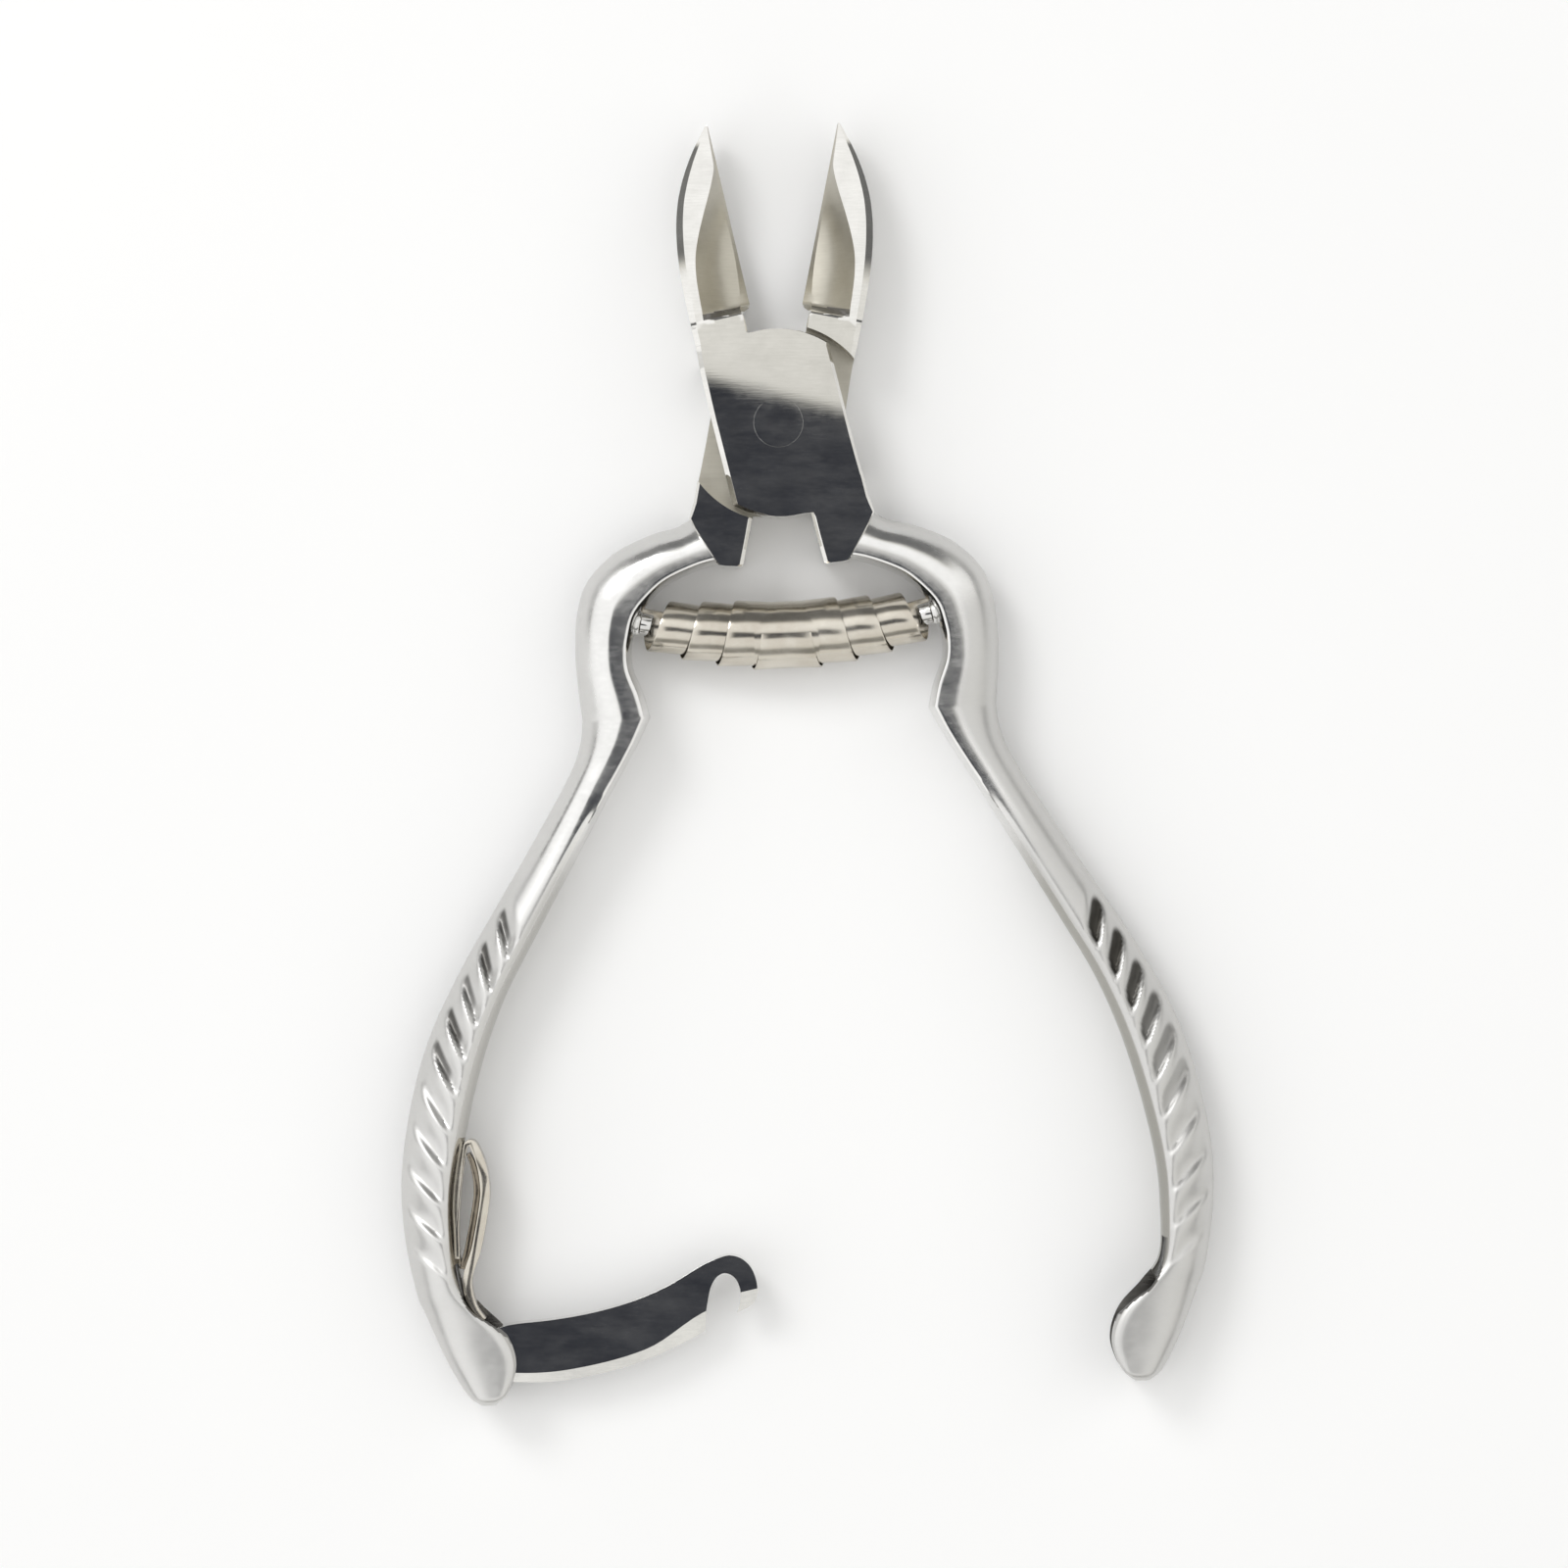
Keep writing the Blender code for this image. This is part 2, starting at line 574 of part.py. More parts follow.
def lock_spring(name, material):
    """A folded strip: one leg lies along the handle, the other bows out and down to the lock."""
    outer, inner = handle_edges()
    x, y = LOCK_PIVOT
    gap = LEAF_THICKNESS / 2 + LEAF_GAP
    leg = [Vector((point.x - gap, point.y)) for point in inner[ARCH_CORNER * HANDLE_STEPS :]
           if LEAF_BOTTOM < point.y + y < LEAF_TOP]
    crown = leg[0]
    bow = [crown + Vector(offset) for offset in LEAF_BOW_LINE]
    bow += [Vector((x + across, up - y)) for across, up in LEAF_FOOT]
    line = smooth_line(leg[::-4] + [crown] + bow, 3)
    sides = ([], [])
    for i, point in enumerate(line):
        along = (line[min(i + 1, len(line) - 1)] - line[max(i - 1, 0)]).normalized()
        across = Vector((-along.y, along.x)) * LEAF_THICKNESS / 2
        sides[0].append(tuple(point + across))
        sides[1].append(tuple(point - across))
    bm = prism(sides[0] + sides[1][::-1], MIDDLE - LEAF_WIDTH / 2, MIDDLE + LEAF_WIDTH / 2)
    add_object(name, flipped(bm, -1), material, -REAR_TURN)


def build():
    clear_scene()
    polished = metal("polished_steel", (0.62, 0.61, 0.59), 0.08)
    satin = metal("satin_steel", (0.66, 0.65, 0.63), 0.25)
    spring_steel = metal("nickel_spring_steel", (0.60, 0.57, 0.52), 0.15)
    lever("front_lever", 1, FRONT_TURN, satin)
    lever("rear_lever", -1, -REAR_TURN, satin)
    add_object("joint_rivet", cylinder(RIVET_RADIUS, 0.0, THICKNESS), polished, smooth=40)
    spring_post("front_spring_post", 1, polished)
    spring_post("rear_spring_post", -1, polished)
    barrel_spring("barrel_spring", spring_steel)
    lock_lever("lock_lever", polished)
    cross_pin("lock_pivot_pin", -1, LOCK_PIVOT, LOCK_PIN_RADIUS, polished)
    cross_pin("catch_pin", 1, CATCH_PIN, CATCH_RADIUS, polished)
    lock_spring("lock_spring", spring_steel)


build()
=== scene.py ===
"""Looks of a lap-jointed nail nipper: polished forgings, fluted grips, a wound barrel spring and
a hook lock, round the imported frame.

A lever is drawn once, closed, in millimetres, with its jaw on -X and its handle on +X. The front
lever uses it as drawn, the rear lever its mirror image, and each is turned about the pivot to
its open place.
"""
import math

import bmesh
import bpy
from mathutils import Matrix, Vector


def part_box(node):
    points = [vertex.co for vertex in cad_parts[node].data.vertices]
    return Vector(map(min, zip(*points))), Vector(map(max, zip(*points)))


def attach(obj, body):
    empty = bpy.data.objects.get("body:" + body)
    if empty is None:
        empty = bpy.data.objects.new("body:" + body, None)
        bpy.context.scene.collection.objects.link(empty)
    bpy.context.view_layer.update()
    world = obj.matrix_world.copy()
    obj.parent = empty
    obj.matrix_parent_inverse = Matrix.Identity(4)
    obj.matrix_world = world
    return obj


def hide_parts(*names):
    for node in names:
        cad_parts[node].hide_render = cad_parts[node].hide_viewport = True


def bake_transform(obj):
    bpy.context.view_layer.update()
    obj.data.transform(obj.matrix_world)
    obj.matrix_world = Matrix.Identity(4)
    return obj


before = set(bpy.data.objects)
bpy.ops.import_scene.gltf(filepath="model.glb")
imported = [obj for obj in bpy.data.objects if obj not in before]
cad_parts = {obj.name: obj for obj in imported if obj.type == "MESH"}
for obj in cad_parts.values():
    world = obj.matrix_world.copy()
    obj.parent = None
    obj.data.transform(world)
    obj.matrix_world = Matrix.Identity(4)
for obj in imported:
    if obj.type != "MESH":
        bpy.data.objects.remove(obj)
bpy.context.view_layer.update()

MM = 0.001

# The two levers, and how far each is opened from its closed place.
FRONT, REAR = 1, -1
TURN = {FRONT: math.radians(14.3), REAR: math.radians(-9.9)}
LEVER = {FRONT: "front_lever", REAR: "rear_lever"}
SIDE_NAME = {FRONT: "front", REAR: "rear"}

# Sizes shared with the frame, in millimetres.
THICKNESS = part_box("front_lever")[1][2] / MM
MIDDLE = THICKNESS / 2
PLATE_RADIUS = 9.9
SHOULDER_RADIUS = 10.45
HANDLE_REACH = 107.5
HANDLE_DROP = HANDLE_REACH - PLATE_RADIUS
HANDLE_SPREAD = 25.9
JAW_SET = math.radians(1.1)


# ---------------------------------------------------------------- shaping helpers

def smoothstep(low, high, value):
    share = min(1.0, max(0.0, (value - low) / (high - low)))
    return share * share * (3.0 - 2.0 * share)


def smooth_line(points, steps):
    """A smooth curve through the points, with as many steps between each pair."""
    points = [Vector(point) for point in points]
    ends = [2 * points[0] - points[1], *points, 2 * points[-1] - points[-2]]
    line = []
    for i in range(1, len(ends) - 2):
        a, b, c, d = ends[i - 1 : i + 3]
        for step in range(steps):
            t = step / steps
            bend = (2 * a - 5 * b + 4 * c - d) * t * t + (3 * b - a - 3 * c + d) * t ** 3
            line.append((2 * b + (c - a) * t + bend) / 2)
    return [*line, points[-1]]


def arc(centre, radius, first, last, steps):
    """Points round part of a circle, its angles in degrees."""
    points = []
    for i in range(steps + 1):
        angle = math.radians(first + (last - first) * i / steps)
        points.append((centre[0] + radius * math.cos(angle), centre[1] + radius * math.sin(angle)))
    return points


def graph(rows, at, column):
    """Reads a column of a table at a value of its first column, smoothly between the rows."""
    last = len(rows) - 1
    i = 0
    while i < last - 1 and at > rows[i + 1][0]:
        i += 1
    before, a, b, after = rows[max(0, i - 1)], rows[i], rows[i + 1], rows[min(last, i + 2)]
    width = b[0] - a[0]
    share = min(1.0, max(0.0, (at - a[0]) / width))
    slope_a = (b[column] - before[column]) / (b[0] - before[0]) * width
    slope_b = (after[column] - a[column]) / (after[0] - a[0]) * width
    t2, t3 = share ** 2, share ** 3
    return (
        (2 * t3 - 3 * t2 + 1) * a[column] + (t3 - 2 * t2 + share) * slope_a
        + (3 * t2 - 2 * t3) * b[column] + (t3 - t2) * slope_b
    )


def loft(rings, finishes=None):
    """A skin through rings that all have as many points, drawn out ring by ring.

    finishes gives each point's share of satin, of painted shade on the inner wall and of painted shade
    in a flute pocket, kept as "finish".
    """
    bm = bmesh.new()
    layer = bm.verts.layers.float_color.new("finish") if finishes else None
    ring = [bm.verts.new(point) for point in rings[0]]
    bm.faces.new(ring)
    drawn = [ring]
    for points in rings[1:]:
        edges = [bm.edges.get((ring[i - 1], ring[i])) for i in range(len(ring))]
        grown = bmesh.ops.extrude_edge_only(bm, edges=edges)["geom"]
        new = {item for item in grown if isinstance(item, bmesh.types.BMVert)}
        follower = {}
        for vert in new:
            for edge in vert.link_edges:
                other = edge.other_vert(vert)
                if other not in new:
                    follower[other] = vert
        ring = [follower[old] for old in ring]
        for vert, point in zip(ring, points):
            vert.co = point
        drawn.append(ring)
    bm.faces.new(ring)
    if finishes:
        for verts, values in zip(drawn, finishes):
            for vert, shares in zip(verts, values):
                vert[layer] = (*shares, 1.0)
    return bm


def prism(outline, low, high):
    """A flat outline drawn up from one height to another."""
    bm = bmesh.new()
    face = bm.faces.new([bm.verts.new((x, y, low)) for x, y in outline])
    top = bmesh.ops.extrude_face_region(bm, geom=[face])["geom"]
    lifted = [item for item in top if isinstance(item, bmesh.types.BMVert)]
    bmesh.ops.translate(bm, vec=(0.0, 0.0, high - low), verts=lifted)
    return bm


def soften(bm, edges, width, segments=2):
    """Rounds off the edges."""
    bmesh.ops.bevel(
        bm, geom=edges, offset=width, offset_type="OFFSET", affect="EDGES", segments=segments,
        profile=0.5, material=-1, clamp_overlap=True,
    )


def cylinder(radius, low, high, place=(0.0, 0.0), segments=128):
    bm = bmesh.new()
    bmesh.ops.create_cone(
        bm, cap_ends=True, segments=segments, radius1=radius, radius2=radius, depth=high - low,
        matrix=Matrix.Translation((place[0], place[1], (low + high) / 2)),
    )
    return bm


def gather(pieces, bm):
    """Adds a finished shape to the one that collects a piece's shapes."""
    mesh = bpy.data.meshes.new("gathered")
    bm.to_mesh(mesh)
    bm.free()
    pieces.from_mesh(mesh)
    bpy.data.meshes.remove(mesh)


def set_in_place(bm, side):
    """Mirrors a rear piece and turns either to its open place."""
    turn = Matrix.Rotation(TURN[side], 3, "Z")
    bmesh.ops.scale(bm, vec=(side, 1.0, 1.0), verts=bm.verts[:])
    bmesh.ops.rotate(bm, cent=(0, 0, 0), matrix=turn, verts=bm.verts[:])
    return bm


def open_point(point, side):
    """Where a point of the closed lever lies once the lever is open."""
    x, y = side * point[0], point[1]
    c, s = math.cos(TURN[side]), math.sin(TURN[side])
    return Vector((x * c - y * s, x * s + y * c))


def add_object(name, bm, materials, sharp=30.0):
    """Makes an object in metres of a shape in millimetres."""
    bmesh.ops.recalc_face_normals(bm, faces=bm.faces[:])
    bmesh.ops.scale(bm, vec=(MM, MM, MM), verts=bm.verts[:])
    mesh = bpy.data.meshes.new(name)
    bm.to_mesh(mesh)
    bm.free()
    mesh.shade_smooth()
    mesh.set_sharp_from_angle(angle=math.radians(sharp))
    for material in materials:
        mesh.materials.append(material)
    made = bpy.data.objects.new(name, mesh)
    bpy.context.scene.collection.objects.link(made)
    return made


def cut(target, cutters, sharp=30.0):
    """Cuts the shapes out of a piece for good, keeping each cutter's own finish on its faces."""
    for cutter in cutters:
        step = target.modifiers.new("cut", "BOOLEAN")
        step.operation = "DIFFERENCE"
        step.solver = "EXACT"
        step.material_mode = "TRANSFER"
        step.object = cutter
    bpy.context.view_layer.update()
    graph_now = bpy.context.evaluated_depsgraph_get()
    done = bpy.data.meshes.new_from_object(target.evaluated_get(graph_now))
    target.modifiers.clear()
    old = target.data
    target.data = done
    bpy.data.meshes.remove(old)
    for cutter in cutters:
        bpy.data.objects.remove(cutter)
    done.shade_smooth()
    done.set_sharp_from_angle(angle=math.radians(sharp))


# ---------------------------------------------------------------- finishes

class Nodes:
    """Short names for building a node tree."""

    def __init__(self, tree):
        self.tree = tree

    def add(self, kind, **settings):
        node = self.tree.nodes.new(kind)
        for key, value in settings.items():
            setattr(node, key, value)
        return node

    def link(self, source, target):
        self.tree.links.new(source, target)

    def math(self, operation, *values):
        """One calculation, its values numbers or other nodes' outputs."""
        node = self.add("ShaderNodeMath", operation=operation)
        for socket, value in zip(node.inputs, values):
            if isinstance(value, (int, float)):
                socket.default_value = value
            else:
                self.link(value, socket)
        return node.outputs[0]

    def step(self, value, low, high, first=0.0, last=1.0):
        """Goes softly from the first number to the last as the value goes from low to high."""
        node = self.add("ShaderNodeMapRange", interpolation_type="SMOOTHSTEP")
        self.link(value, node.inputs["Value"])
        for name, number in (("From Min", low), ("From Max", high), ("To Min", first), ("To Max", last)):
            node.inputs[name].default_value = number
        return node.outputs[0]

    def band(self, value, rise, fall):
        """One between a soft rise and a soft fall, and nought outside them."""
        return self.math("MULTIPLY", self.step(value, *rise), self.step(value, *fall, 1.0, 0.0))

    def noise(self, place, scale, detail=2.0, roughness=0.5):
        node = self.add("ShaderNodeTexNoise")
        self.link(place, node.inputs["Vector"])
        node.inputs["Scale"].default_value = scale
        node.inputs["Detail"].default_value = detail
        node.inputs["Roughness"].default_value = roughness
        return node.outputs["Fac"]

    def mapped(self, source, scale=(1.0, 1.0, 1.0), turn=(0.0, 0.0, 0.0)):
        node = self.add("ShaderNodeMapping")
        self.link(source, node.inputs["Vector"])
        node.inputs["Scale"].default_value = scale
        node.inputs["Rotation"].default_value = turn
        return node.outputs["Vector"]

    def ramp(self, value, stops):
        node = self.add("ShaderNodeValToRGB")
        self.link(value, node.inputs["Fac"])
        points = node.color_ramp.elements
        while len(points) < len(stops):
            points.new(0.5)
        for point, (place, colour) in zip(points, stops):
            point.position = place
            point.color = (*colour, 1.0)
        return node.outputs["Color"]


def mix(n, kind, share, first, second):
    """Mixes two colours, or two numbers, by a share."""
    node = n.add("ShaderNodeMix", data_type=kind)
    slots = (6, 7) if kind == "RGBA" else (2, 3)
    n.link(share, node.inputs[0])
    for slot, value in zip(slots, (first, second)):
        if isinstance(value, (int, float)):
            node.inputs[slot].default_value = value
        elif isinstance(value, tuple):
            node.inputs[slot].default_value = (*value, 1.0)
        else:
            n.link(value, node.inputs[slot])
    return node.outputs[2 if kind == "RGBA" else 0]


# Colour of the painted shade in the deepest part of the grip's flutes.
POCKET_PAINTED_SHADE_COLOUR = (0.055, 0.052, 0.046)

# Marks on every bright metal: the share of its crossing grain, of its clouds, the clouds' scale,
# the depth in metres of scratches and of wavering, and the scale of the wavering.
CROSS_SHARE = 0.35
CLOUD_SHARE = 0.6
CLOUD_SCALE = 260.0
SCRATCH_DEPTH = 0.00002
WAVE_DEPTH = 0.00025
WAVE_SCALE = 190.0

# The thin film of use on it: its three scales, its turn, and how metallic clean and filmed parts
# look. Then how far the satin's roughness goes to each side.
FILM_GRAIN = (150.0, 420.0, 300.0)
FILM_TURN = 0.4
CLEAN_METAL, FILMED_METAL = 0.992, 0.945
SATIN_HAZE_SPREAD = 0.03


def steel(name, dark, light, smooth, rough, grain, grain_turn, scratch, wave, satin_and_painted_shade=None):
    """A bright metal. dark and light are its colour's two ends, smooth and rough the ends of its
    roughness, grain the three scales of its finishing marks, scratch how deep these marks look
    and wave how much its surface wavers. The last argument gives the satin colour and roughness
    and the colour of the painted shade on the inner wall of a piece that carries the attribute "finish"."""
    made = bpy.data.materials.new(name)
    made.use_nodes = True
    n = Nodes(made.node_tree)
    shader = made.node_tree.nodes["Principled BSDF"]
    place = n.add("ShaderNodeTexCoord").outputs["Object"]
    lines = n.noise(n.mapped(place, grain, (0.0, 0.0, grain_turn)), 1.0, 3.0, 0.6)
    cross = n.noise(n.mapped(place, grain, (0.0, 0.0, grain_turn + 1.9)), 1.0, 2.0, 0.6)
    cloud = n.noise(place, CLOUD_SCALE, 4.0, 0.62)
    marks = n.math("MULTIPLY_ADD", cross, CROSS_SHARE, n.math("MULTIPLY", lines, 1.0 - CROSS_SHARE))
    shade = n.math("MULTIPLY_ADD", cloud, CLOUD_SHARE, n.math("MULTIPLY", marks, 1.0 - CLOUD_SHARE))
    colour = n.ramp(shade, ((0.36, dark), (0.64, light)))
    haze = n.step(shade, 0.38, 0.66, smooth, rough)
    film = n.noise(n.mapped(place, FILM_GRAIN, (0.0, 0.0, FILM_TURN)), 1.0, 5.0, 0.7)
    n.link(n.step(film, 0.30, 0.72, CLEAN_METAL, FILMED_METAL), shader.inputs["Metallic"])
    if satin_and_painted_shade:
        satin_colour, satin_haze, shade_colour = satin_and_painted_shade
        finish = n.add("ShaderNodeAttribute", attribute_name="finish")
        parts = n.add("ShaderNodeSeparateColor")
        n.link(finish.outputs["Color"], parts.inputs[0])
        satin_share, shade_share, pocket_shade_share = parts.outputs
        darker_satin = tuple(channel * 0.93 for channel in satin_colour)
        satin = n.ramp(shade, ((0.34, darker_satin), (0.66, satin_colour)))
        colour = mix(n, "RGBA", satin_share, colour, satin)
        # Painted shade on the inner wall of the grip.
        colour = mix(n, "RGBA", shade_share, colour, shade_colour)
        # Painted shade in the flute pockets.
        colour = mix(n, "RGBA", pocket_shade_share, colour, POCKET_PAINTED_SHADE_COLOUR)
        ends = (satin_haze - SATIN_HAZE_SPREAD, satin_haze + SATIN_HAZE_SPREAD)
        haze = mix(n, "FLOAT", satin_share, haze, n.step(shade, 0.38, 0.66, *ends))
    n.link(colour, shader.inputs["Base Color"])
    n.link(haze, shader.inputs["Roughness"])
    fine = n.add("ShaderNodeBump")
    fine.inputs["Strength"].default_value = scratch
    fine.inputs["Distance"].default_value = SCRATCH_DEPTH
    n.link(marks, fine.inputs["Height"])
    broad = n.add("ShaderNodeBump")
    broad.inputs["Strength"].default_value = wave
    broad.inputs["Distance"].default_value = WAVE_DEPTH
    n.link(n.noise(place, WAVE_SCALE, 1.0, 0.4), broad.inputs["Height"])
    n.link(broad.outputs["Normal"], fine.inputs["Normal"])
    n.link(fine.outputs["Normal"], shader.inputs["Normal"])
    return made


def make_finishes():
    """Every finish by its short name, with steel's values in steel's order."""
    bright, pale = (0.70, 0.695, 0.68), (0.79, 0.785, 0.77)
    return {
        "mirror": steel("mirror_polished_steel", (0.66, 0.65, 0.62), (0.77, 0.76, 0.73),
                        0.010, 0.026, (420, 5200, 900), 0.25, 0.004, 0.0010),
        # The last colour of each grip is the painted shade on its inner wall.
        "grip_front": steel("satin_grip_steel", bright, pale,
                            0.12, 0.19, (900, 2600, 900), 0.5, 0.02, 0.005,
                            ((0.62, 0.615, 0.60), 0.38, (0.33, 0.32, 0.285))),
        "grip_rear": steel("pearly_grip_steel", bright, pale,
                           0.12, 0.19, (900, 2600, 900), 0.5, 0.02, 0.005,
                           ((0.66, 0.655, 0.64), 0.36, (0.50, 0.49, 0.46))),
        "arch": steel("polished_post_steel", (0.60, 0.595, 0.58), (0.74, 0.735, 0.72),
                      0.08, 0.16, (900, 2600, 900), 0.5, 0.05, 0.01),
        "ground": steel("ground_steel", (0.47, 0.445, 0.38), (0.56, 0.535, 0.465),
                        0.32, 0.42, (200, 6000, 900), 0.0, 0.02, 0.003),
        # The slot finish is dark: painted shade inside the slots, in the lock's eye and on the wall at
        # the foot of the jaw's hollow.
        "slot": steel("slot_painted_shade_steel", (0.15, 0.145, 0.135), (0.25, 0.24, 0.225),
                      0.25, 0.42, (700, 5200, 900), 0.3, 0.3, 0.02),
        "nickel": steel("nickel_strip", (0.53, 0.49, 0.42), (0.66, 0.625, 0.555),
                        0.15, 0.24, (300, 300, 2600), 0.0, 0.04, 0.004),
        "leaf": steel("tempered_leaf", (0.20, 0.17, 0.13), (0.34, 0.30, 0.24),
                      0.18, 0.34, (900, 900, 5200), 0.0, 0.25, 0.02),
        "lock": steel("polished_lock_steel", (0.62, 0.615, 0.60), (0.74, 0.735, 0.71),
                      0.04, 0.11, (700, 5600, 900), 0.18, 0.03, 0.004),
    }


# ---------------------------------------------------------------- jaw, plate and tail

# Left and right edge of the tail as drawn, with the chamfer on each: y, left, right, left
# chamfer, right chamfer.
TAIL = (
    (-15.80, 2.90, 3.62, 0.10, 0.10),
    (-15.62, 1.40, 3.90, 0.25, 0.16),
    (-15.40, 1.06, 4.12, 0.38, 0.16),
    (-13.60, 1.02, 5.78, 0.38, 0.16),
    (-12.40, 1.00, 6.85, 0.38, 0.16),
    (-11.55, 1.00, 7.50, 0.38, 0.20),
    (-10.60, 1.00, 7.42, 0.38, 0.30),
    (-10.05, 1.00, 7.36, 0.25, 0.30),
)

# The plate's straight sides, how far they move at its corners, its chamfers and the most of its
# width that a chamfer may take.
PLATE_LEFT = 6.75
PLATE_RIGHT = 7.18
PLATE_FLARE = 0.10
PLATE_CHAMFER_LEFT = 0.50
PLATE_CHAMFER_RIGHT = 0.30
EDGE_ROUND = 0.12
MOST_CHAMFER = 0.4

# Heights of the sections: the plate's round foot, its straight sides, its round top and the jaw's
# heel. The jaw's own are worked out.
FOOT_ROWS = (-9.90, -9.86, -9.75, -9.5, -9.2, -8.8, -8.4, -8.0, -7.6)
SIDE_ROWS = (-7.25, -6.0, -3.0, 0.0, 2.0, 4.0, 5.5, 6.6)
TOP_ROWS = (6.9, 7.2, 7.6, 8.0, 8.4, 8.8, 9.15, 9.45, 9.7, 9.84)
HEEL_ROWS = (9.90, 10.5, 11.2, 11.7)
FOOT_RIGHT = 7.32
FOOT_CHAMFER = 0.10
HEEL_CHAMFER = 0.55
FINE_STEP, COARSE_STEP = 0.13, 0.4
FINE_END = 13.6

# Jaw: y, outer edge, top ridge, rim of the hollow, start of the cutting bevel, all as distances
# from the closing line, then how far the hollow has sunk, the cutting edge's distance, the top's
# fall below the plate and the rise of the underside.
JAW = (
    (11.95, 6.62, 6.02, 5.25, 1.15, 0.00, 0.98, 0.00, 0.00),
    (12.25, 6.62, 6.01, 5.22, 1.15, 0.10, 0.80, 0.01, 0.00),
    (12.75, 6.62, 6.00, 5.18, 1.12, 0.70, 0.20, 0.03, 0.00),
    (13.05, 6.61, 5.98, 5.15, 1.05, 0.93, 0.06, 0.04, 0.00),
    (13.50, 6.60, 5.96, 5.12, 0.95, 1.00, 0.06, 0.06, 0.00),
    (15.00, 6.58, 5.90, 5.05, 0.72, 1.00, 0.06, 0.13, 0.05),
    (17.00, 6.50, 5.80, 4.88, 0.52, 1.00, 0.06, 0.26, 0.15),
    (19.00, 6.34, 5.62, 4.48, 0.42, 1.00, 0.06, 0.42, 0.30),
    (21.00, 6.06, 5.33, 3.72, 0.38, 1.00, 0.06, 0.62, 0.50),
    (23.00, 5.64, 4.92, 2.75, 0.34, 1.00, 0.06, 0.85, 0.75),
    (25.00, 5.02, 4.32, 1.70, 0.31, 1.00, 0.06, 1.10, 1.02),
    (26.60, 4.32, 3.64, 0.92, 0.29, 1.00, 0.06, 1.32, 1.25),
    (27.80, 3.68, 3.04, 0.48, 0.27, 1.00, 0.06, 1.50, 1.45),
    (29.20, 2.80, 2.24, 0.36, 0.24, 1.00, 0.06, 1.72, 1.70),
    (30.60, 1.78, 1.34, 0.28, 0.19, 1.00, 0.06, 1.96, 1.95),
    (31.70, 0.88, 0.62, 0.20, 0.14, 1.00, 0.06, 2.18, 2.15),
    (32.35, 0.34, 0.26, 0.14, 0.10, 1.00, 0.05, 2.32, 2.28),
)
JAW_HEEL = JAW[0]
JAW_TIP = JAW[-1]

# Lines across the hollow and how deep it sags, the cutting edge's lower and upper height and how
# its bevel leans, how far the side falls from the ridge and how much less at the point, the
# height of the lower side, and where the underside's slope starts on the jaw and at its heel.
HOLLOW_LINES = 9
HOLLOW_SAG = 0.55
CUT_EDGE_LOW = 3.75
CUT_EDGE_HIGH = 4.15
CUT_EDGE_LEAN = 0.35
JAW_SIDE_DROP = 0.54
JAW_TIP_RISE = 0.17
JAW_LOW_SIDE = 1.6
BACK_SLOPE = 2.6
BACK_START = 3.8
CREST_DROP = 0.02

# The hollow's ground finish starts above its wall and ends short of the jaw's point.
WALL_FOOT = 12.25
WALL_TOP = 13.0
WALL_BEND = 13.4
HOLLOW_TIP = 32.2
HOLLOW_MARGIN = 0.03
HOLLOW_DEPTH = 0.6
# The wall at the hollow's foot gets the dark slot finish, a painted shade.
HEAD_FINISHES = ("mirror", "ground", "slot")
HEAD_SHARP = 14.0
JOINT_GAP = 0.025


def plate_ring(y, left, right, chamfer_left, chamfer_right):
    """Section of plate or tail, with as many points as a jaw's section."""
    most = (right - left) * MOST_CHAMFER
    a, b = min(chamfer_left, most), min(chamfer_right, most)
    top = THICKNESS
    ring = [(right - b, y, 0.0), (right, y, b), (right, y, top - b)]
    span = right - b - (left + a)
    for i in range(HOLLOW_LINES + 2):
        ring.append((right - b - span * i / (HOLLOW_LINES + 3), y, top))
    ring += [(left + a, y, top), (left, y, top - a), (left, y, a), (left + a, y, 0.0)]
    ring.append(((left + right) / 2, y, 0.0))
    return ring


def jaw_ring(y, side):
    """Section of the jaw, turned by the small angle at which its edge is set."""
    outer, ridge, rim, bevel, sunk, edge, fall, low = [graph(JAW, y, i) for i in range(1, 9)]
    top = THICKNESS - fall
    sunk = max(0.0, sunk)
    formed = smoothstep(11.9, 13.2, y)
    edge_low = low + (CUT_EDGE_LOW - low) * formed
    edge_high = top + (CUT_EDGE_HIGH + CUT_EDGE_LEAN * bevel - top) * min(1.0, sunk)
    land = edge_low + 0.04 + (top - 0.16 - edge_low) * (1 - formed)
    ring = [(-edge, edge_low), (-edge, land), (-bevel, edge_high)]
    for i in range(1, HOLLOW_LINES + 1):
        share = i / (HOLLOW_LINES + 1)
        dip = HOLLOW_SAG * math.sin(math.pi * share) * (rim - bevel) / 4.0
        ring.append((-bevel - (rim - bevel) * share, edge_high + (top - edge_high) * share - dip * sunk))
    crest = top - CREST_DROP
    side_drop = JAW_SIDE_DROP - JAW_TIP_RISE * smoothstep(25.0, 30.0, y)
    waist = max(crest - side_drop * min(1.0, outer / 3.0), edge_high)
    underside = min(waist - 0.2, low + JAW_LOW_SIDE * min(1.0, outer / 4.0))
    ring += [(-rim, top), (-ridge, crest), (-outer, waist), (-outer, underside)]
    ring.append((-outer + min(0.9, 0.4 * outer), low))
    ring.append((-min(BACK_SLOPE, 0.6 * outer) * formed - BACK_START * (1 - formed), low))
    c, s = math.cos(-side * JAW_SET), math.sin(-side * JAW_SET)
    return [(x * c - y * s, x * s + y * c, z) for x, z in ring]


